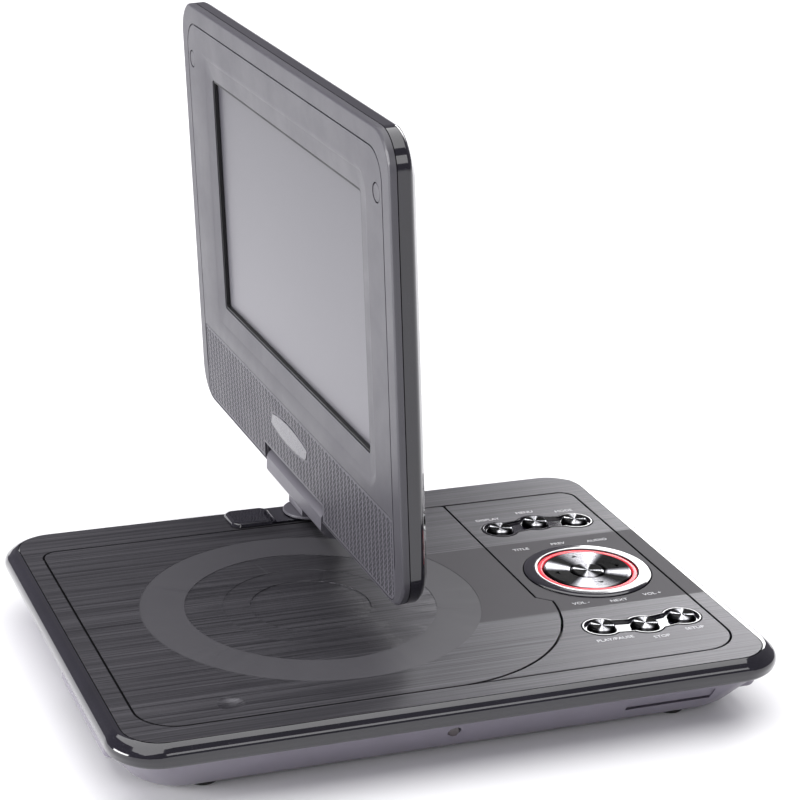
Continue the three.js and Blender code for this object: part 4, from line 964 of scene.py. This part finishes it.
PAD_TOP = DECK + 0.9
PAD_FLOOR = DECK - 2.4
PAD_PROFILE = (
    (6.4, PAD_FLOOR), (15.7, PAD_FLOOR), (16, DECK), (16, PAD_TOP - 0.6), (15.85, PAD_TOP - 0.3),
    (15.5, PAD_TOP - 0.08), (15, PAD_TOP), (7.4, PAD_TOP - 0.45), (6.8, PAD_TOP - 0.6), (6.4, PAD_TOP - 0.9),
    (6.4, PAD_FLOOR),
)
ARROW = ((13, 0), (10.9, 1.5), (11.3, 0), (10.9, -1.5))
pad = turned("direction_pad", PAD_PROFILE, DIAL, 128)
for quarter in range(4):
    turn = Matrix.Translation((DIAL[0], DIAL[1], 0)) @ Matrix.Rotation(quarter * math.pi / 2, 4, "Z")
    cut(pad, put(prism("arrow", ARROW, PAD_TOP - 0.6, PAD_TOP + 1), turn))
settle(smooth(mark_centre(pad, DIAL), 25), "navigation_pad", "spun_metal", SPUN_PAD, "navigation_pad")

OK_FOOT = cad("ok_button")[0].z
OK_PROFILE = (
    (0, OK_FOOT), (1.8, OK_FOOT), (1.8, PAD_FLOOR), (6, PAD_FLOOR), (6, PAD_TOP - 0.75),
    (5.85, PAD_TOP - 0.5), (5.5, PAD_TOP - 0.3), (5, PAD_TOP - 0.22), (0, PAD_TOP - 0.5),
)
ok = turned("middle_button", OK_PROFILE, DIAL, 72)
settle(smooth(mark_centre(ok, DIAL), 25), "ok_button", "spun_metal", SPUN_BUTTON, "ok_button")


# ---- printed labels ----


def label(words, x, y):
    """Thin raised words, placed from the middle of the dial."""
    only()
    bpy.ops.object.text_add(location=(0, 0, 0))
    piece = bpy.context.object
    piece.data.body = words
    piece.data.size = LABEL_SIZE
    piece.data.align_x = "CENTER"
    piece.data.extrude = 0.02
    bpy.ops.object.convert(target="MESH")
    return close(shifted(bpy.context.object, DIAL[0] + x, DIAL[1] + y, DECK + 0.03))


LABELS = (
    ("DISPLAY", -16.5, 54.6),
    ("MENU", 0, 57.4),
    ("MODE", 15.4, 54.6),
    ("TITLE", -15.5, 24.4),
    ("PREV", 0, 25.6),
    ("AUDIO", 15.5, 24.4),
    ("VOL -", -14, -25.9),
    ("NEXT", 0, -27.6),
    ("VOL +", 14, -25.9),
    ("PLAY/PAUSE", -15, -56.4),
    ("STOP", 1.4, -59.2),
    ("SETUP", 15.4, -56.4),
)
printed = joined(*[label(*row) for row in LABELS])
settle(printed, "base", "badge_grey", LABEL_WHITE)
printed.name = "printed_labels"


# ---- hinge cover, turret and hinge block ----

strip = (-32, 32, WELL[3] + 1.2, BASE[3] - 4.4)
seat_top = DECK + GAP + 0.5
cover = block("hinge_cover_plate", -16.5, 16.5, strip[2] + 0.5, strip[3] - 0.5, DECK + GAP, seat_top)
cut(cover, rod("stem_hole", (TURRET.x, TURRET.y), STEM_HOLE, DECK, DECK + 4))
for side in (-1, 1):
    box = (*sorted((side * 14.5, side * 32)), strip[2], strip[3])
    levels = ((GAP, 0), (1.1, 0.35), (1.5, 0.9), (1.7, 1.7))
    merged(cover, loft("bump", [(DECK + rise, inset(box, side_in), 3) for rise, side_in in levels]))
settle(smooth(cover, 40), "base", "gloss_black", GLOSS_BLACK, "hinge_cover")

turret_top = DECK + 2.1
turret_low = cad("swivel_turret")[0].z
turret_seat = seat_top + GAP
turret_profile = (
    (0, turret_low), (7.6, turret_low), (7.6, turret_low + 1.4), (5.2, turret_low + 1.4), (5.2, turret_seat),
    (9.4, turret_seat), (9.6, turret_seat + 0.2), (9.6, turret_top - 0.35), (9.45, turret_top - 0.1),
    (9.2, turret_top), (0, turret_top),
)
turret = turned("turret_disc", turret_profile, (TURRET.x, TURRET.y), 96)
settle(smooth(turret, 40), "turret", "turret_grey", TURRET_GREY, "swivel_turret")

barrel = along_x(rod("hinge_barrel", (0, 0), HINGE_RADIUS, 0, 2 * HINGE_HALF, 96))
barrel = shifted(barrel, -HINGE_HALF, 0, 0)
merged(barrel, block("saddle", -8, 8, -5, 5, turret_top + GAP - PIVOT.z, -3))
front = block("front", -40, 40, -20, 0.5 - HINGE_RADIUS, -20, 20)
cut(barrel, front, shifted(along_x(rod("bore", (0, 0), HINGE_BORE, 0, 80)), -40, 0, 0))
settle(soften(barrel, 0.3, 3, 32), "turret", "turret_grey", TURRET_GREY, "hinge_block", place=BLOCK_PLACE)


# ---- screen: modelled flat with its face up, then stood up ----

SCREEN_STAND = SCREEN_PLACE @ STAND_UP
BEZEL_BACK = FACE - 2.7
COVER_FRONT = BEZEL_BACK - GAP


def screen_settle(piece, slot, finish, *nodes):
    return settle(piece, "screen", slot, finish, *nodes, place=SCREEN_STAND)


notch_box = (-NOTCH_HALF, NOTCH_HALF, -30, NOTCH_TOP)
FRAME_EDGE = ((-1.2, 0), (-0.65, 0.12), (-0.25, 0.45))  # height from the face, and how far in
frame_levels = [(BEZEL_BACK, SCREEN, SCREEN_CORNER)]
frame_levels += [(FACE + z, inset(SCREEN, side), SCREEN_CORNER) for z, side in FRAME_EDGE]
frame_levels.append((FACE, inset(SCREEN, 1), SCREEN_CORNER - 0.6))
bezel = loft("screen_frame", frame_levels, 16)
opening = loft(
    "opening",
    [
        (BEZEL_BACK - 1, WINDOW, 1.5),
        (FACE - 1.9, WINDOW, 1.5),
        (FACE - 1.05, DISH_STEP, 5),
        (FACE - 0.95, inset(DISH_STEP, -0.2), 5.2),
        (FACE + 0.01, DISH, 9),
        (FACE + 1, DISH, 9),
    ],
)
seam = slab("line", inset(SCREEN, 7), SCREEN_CORNER - 2, FACE - 0.6, FACE + 1, 14)
cut(seam, slab("line_inner", inset(SCREEN, 7.6), SCREEN_CORNER - 2.6, FACE - 1, FACE + 2, 14))
chin_box = (SCREEN[0] + 7.8, SCREEN[1] - 7.8, SCREEN[2] + 1.2, SCREEN[2] + 33)
chin_pocket = slab("chin_pocket", chin_box, (6, 6, 1, 1), FACE - 1.1, FACE + 1)
plug_holes = [rod("plug_hole", (x, PLUG_Y), 3.5, FACE - 1.3, FACE + 1) for x in (-PLUG_X, PLUG_X)]
cut(bezel, opening, seam, chin_pocket, *plug_holes, slab("notch", notch_box, 1, 0, FACE + 2, 4))
screen_settle(soften(bezel, 0.15, 2, 32), "screen_grey", SCREEN_GREY, "screen_bezel")

PLUG_PROFILE = ((0, -1), (3.1, -1), (3.2, -0.9), (3.2, -0.35), (2.95, -0.12), (2.4, -0.1), (0, -0.22))
for x, name in ((-PLUG_X, "left"), (PLUG_X, "right")):
    profile = [(radius, FACE + z) for radius, z in PLUG_PROFILE]
    plug = turned(f"corner_plug_{name}", profile, (x, PLUG_Y), 48)
    screen_settle(smooth(plug), "screen_grey", SCREEN_GREY, f"bezel_plug_{name}")


def lens_outline(half, rise, steps=20):
    """Two arcs that meet in a short upright end at each side, round the badge's middle."""
    bow = rise * 0.55
    radius = (half * half + bow * bow) / (2 * bow)
    spread_angle = math.asin(half / radius)
    points = []
    for sign in (1, -1):
        for i in range(steps):
            angle = spread_angle * (2 * i / steps - 1)
            x, y = -radius * math.sin(angle), radius * (math.cos(angle) - 1) + rise
            points.append((BADGE[0] + sign * x, BADGE[1] + sign * y))
    return points


badge = prism("plain_badge", lens_outline(22, 4.3), FACE - 0.8, FACE + 0.1)
screen_settle(soften(badge, 0.18, 3, 50), "badge_grey", BADGE_GREY, "chin_badge")

CHIN_FRONT = FACE - 0.12
GRILLE_CORNER = 5.7
BADGE_ROOM = (22.3, 4.6)  # half width and rise of the opening round the badge
NOTCH_ROOM = (NOTCH_HALF + 1, NOTCH_TOP + 1)
grille_box = inset(chin_box, 0.3)
corners = (GRILLE_CORNER, GRILLE_CORNER, 0.7, 0.7)
grille = slab("grille_plate", grille_box, corners, FACE - 0.8, CHIN_FRONT - 0.02)
pocket = slab("pocket", inset(grille_box, 0.7), (5, 5, 0.5, 0.5), CHIN_FRONT - 0.45, FACE + 1)
badge_rim = prism("badge_rim", lens_outline(23.5, 5.2), 0, FACE + 2)
cut(pocket, badge_rim, block("notch_rim", -36, 36, -5, 9.4, 0, FACE + 2))
badge_room = prism("badge_room", lens_outline(*BADGE_ROOM), 0, FACE + 2)
notch_room = block("notch_room", -NOTCH_ROOM[0], NOTCH_ROOM[0], -5, NOTCH_ROOM[1], 0, FACE + 2)
cut(grille, pocket, badge_room, notch_room)

COLUMN = 0.5
ROW = 0.5
columns = int((grille_box[1] - grille_box[0] - 0.6) / COLUMN)
rows = int((grille_box[3] - grille_box[2] - 0.6) / ROW)
bpy.ops.object.select_all(action="DESELECT")
bpy.ops.mesh.primitive_grid_add(x_subdivisions=columns, y_subdivisions=rows, size=1, location=(0, 0, 0))
weave = bpy.context.object
weave.name = "chin_weave"
edit(weave)
bpy.ops.transform.resize(value=(columns * COLUMN, rows * ROW, 1), center_override=(0, 0, 0))
move((grille_box[0] + grille_box[1]) / 2, (grille_box[2] + grille_box[3]) / 2, CHIN_FRONT - 0.4)
left = (grille_box[0] + grille_box[1] - columns * COLUMN) / 2
bottom = (grille_box[2] + grille_box[3] - rows * ROW) / 2


def off_sheet(centre, margin):
    """Outside the grille's own outline, moved in by a margin."""
    if abs(centre.x) < NOTCH_ROOM[0] + margin and centre.y < NOTCH_ROOM[1] + margin:
        return True
    half, rise = BADGE_ROOM
    radius = (half * half + rise * rise) / (2 * rise) + margin
    x, y = abs(centre.x - BADGE[0]), abs(centre.y - BADGE[1])
    if x < 23 + margin and math.hypot(x, y + radius - margin - rise) < radius:
        return True
    x = abs(centre.x) - (grille_box[1] - GRILLE_CORNER)
    y = grille_box[2] + GRILLE_CORNER - centre.y
    return x > 0 and y > 0 and math.hypot(x, y) > GRILLE_CORNER - margin


def dashed(centre, normal):
    """Short upright dashes in groups of three columns, the middle column a step higher."""
    column = int((centre.x - left) / COLUMN)
    row = int((centre.y - bottom) / ROW)
    if normal.z < 0.5 or column % 8 not in (0, 2, 4) or row in (0, rows - 1) or column >= columns - 2:
        return False
    return (row + 2 * (column % 8 == 2)) % 4 < 3 and not off_sheet(centre, 0.7)


edit(weave, "FACE", lambda centre, normal: off_sheet(centre, 0.25))
bpy.ops.mesh.delete(type="FACE")
edit(weave)
extrude(0, 0, 0.4)
close(weave)
edit(weave, "FACE", dashed)
extrude(0, 0, -0.28)
bpy.ops.object.mode_set(mode="OBJECT")
weave.data.materials.append(GRILLE_GREY)
weave.data.materials.append(GRILLE_POCKET_SHADE)
# painted shade: the dash pockets' floors and walls get the near-black finish, standing in for the depth of the grille's
# openings
for face in weave.data.polygons:
    if CHIN_FRONT - 0.38 < face.center.z < CHIN_FRONT - 0.05:
        face.material_index = 1
grille.data.materials.append(GRILLE_GREY)
put(grille, Matrix.Scale(0.001, 4) @ SCREEN_STAND)
put(weave, Matrix.Scale(0.001, 4) @ SCREEN_STAND)
for piece in (grille, weave):
    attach(piece, "screen")
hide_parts("chin_grille")

panel_box = inset(WINDOW, -5)
glass = slab("display_glass", panel_box, 1, BEZEL_BACK - 4.2, BEZEL_BACK - 1.2, 4)
screen_settle(soften(glass, 0.1, 2), "display_glass", DISPLAY, "display_panel")

BACK_LEVELS = (  # height, then how far in at the sides, foot and head, and the corners' radius
    (-9.8, 54, 16, 112, 21), (-8.6, 36, 9, 84, 25), (-6.8, 20, 5, 48, 21), (-5, 6.5, 2.8, 7, 15),
    (-3.8, 2.6, 1.6, 2.6, 13.5), (-2.2, 0.7, 0.6, 0.7, 13), (-0.5, 0, 0, 0, 13), (COVER_FRONT, 0, 0, 0, 13),
)


def back_body(name, thickness, forward):
    levels = []
    for z, side, foot, head, radius in BACK_LEVELS:
        box = inset(SCREEN, side + thickness, foot + thickness, head + thickness)
        levels.append((z + forward, box, radius))
    return loft(name, levels, 16)


hollow = cut(back_body("hollow", 2, 2), block("notch_wall", -36, 36, -30, NOTCH_TOP + 2, -30, 30))
back = cut(back_body("back_shell", 0, 0), hollow, slab("notch_cut", notch_box, 0.5, -30, 30, 4))
KNUCKLE = 7.2
for start in (-NOTCH_HALF - KNUCKLE, NOTCH_HALF):
    knuckle = shifted(along_x(rod("knuckle", (0, 0), 4, 0, KNUCKLE, 48)), start, 0, 0)
    cut(knuckle, block("front_rest", -120, 120, -30, 30, COVER_FRONT, 30))
    merged(back, knuckle)
    bore = along_x(rod("bore", (0, 0), HINGE_BORE, 0, KNUCKLE + 0.1, 32))
    cut(back, shifted(bore, start + 0.9 if start < 0 else start - 1, 0, 0))
screen_settle(smooth(back, 32), "gloss_black", GLOSS_BLACK, "screen_back_cover")


# ---- sockets in the right wall ----

for name, y, bore, depth, finish, slot in (
    ("dc_inlet", DC_Y, 2.3, 9, SOCKET_BLACK, "socket_black"),
    ("av_socket", AV_Y, 1.8, 11, SOCKET_YELLOW, "socket_yellow"),
    ("headphone_socket", PHONES_Y, 1.8, 11, SOCKET_GREEN, "socket_green"),
):
    low, high = cad(name)
    body = block(name + "_body", low.x, FLANK_X - 2.3, y - 4, y + 4, PORT_Z - 3.6, PORT_Z + 3.6)
    nose = turned("nose", ((0, 0), (3, 0), (3, 2.9), (2.8, 3.15), (2.5, 3.2), (0, 3.2)), steps=56)
    merged(body, shifted(along_x(nose), FLANK_X - 3, y, PORT_Z))
    cut(body, shifted(along_x(rod("bore", (0, 0), bore, 0, depth + 1)), FLANK_X - depth, y, PORT_Z))
    settle(soften(body, 0.12, 2, 40), "base", slot, finish, name)


# ---- studio: pale floor, camera and soft lights ----

only()
bpy.ops.mesh.primitive_plane_add(size=8, location=(0, 0, cad("foot_1")[0].z / 1000))
floor = bpy.context.object
floor.name = "studio_floor"
floor_finish, floor_tree, floor_shader = new_finish("studio_floor")
feed(floor_tree, floor_shader.inputs, {"Base Color": (0.86, 0.86, 0.87), "Roughness": 0.7})
floor.data.materials.append(floor_finish)

CAMERA_PLACE = (-0.2802, -0.7386, 0.3807)
CAMERA_LENS = 109.36
azimuth, elevation, roll = (math.radians(angle) for angle in (21.2, 19.744, 1.713))
away = math.cos(elevation)
ahead = Vector((math.sin(azimuth) * away, math.cos(azimuth) * away, -math.sin(elevation)))
level_right = Vector((math.cos(azimuth), -math.sin(azimuth), 0))
level_up = level_right.cross(ahead)
right = math.cos(roll) * level_right + math.sin(roll) * level_up
up = -math.sin(roll) * level_right + math.cos(roll) * level_up
lens = bpy.data.cameras.new("camera")
lens.lens = CAMERA_LENS
lens.sensor_width = 36
lens.clip_start = 0.01
camera = bpy.data.objects.new("camera", lens)
bpy.context.scene.collection.objects.link(camera)
turn = Matrix((right, up, -ahead)).transposed().to_4x4()
camera.matrix_world = Matrix.Translation(CAMERA_PLACE) @ turn
bpy.context.scene.camera = camera


def softbox(name, place, aim, width, height, power):
    light = bpy.data.lights.new(name, "AREA")
    light.shape = "RECTANGLE"
    light.size, light.size_y, light.energy = width, height, power
    holder = bpy.data.objects.new(name, light)
    bpy.context.scene.collection.objects.link(holder)
    facing = (Vector(aim) - Vector(place)).to_track_quat("-Z", "Y")
    holder.matrix_world = Matrix.Translation(place) @ facing.to_matrix().to_4x4()


softbox("top", (0, 0.3, 2), (0, 0.3, 0), 3, 3, 70)
softbox("left", (-1.5, 0.0, 0.34), (0, 0, 0.06), 0.9, 0.55, 26)
softbox("rear_right", (1.0, 1.15, 0.6), (0.05, 0, 0.03), 0.7, 0.45, 8)
softbox("front", (0.4, -1.4, 0.8), (0, 0, 0.05), 1.0, 0.6, 5)

world = bpy.data.worlds.new("studio")
world.use_nodes = True
background = world.node_tree.nodes["Background"].inputs
feed(world.node_tree, background, {"Color": (0.86, 0.83, 0.93), "Strength": 0.28})
bpy.context.scene.world = world
bpy.context.scene.view_settings.view_transform = "Standard"
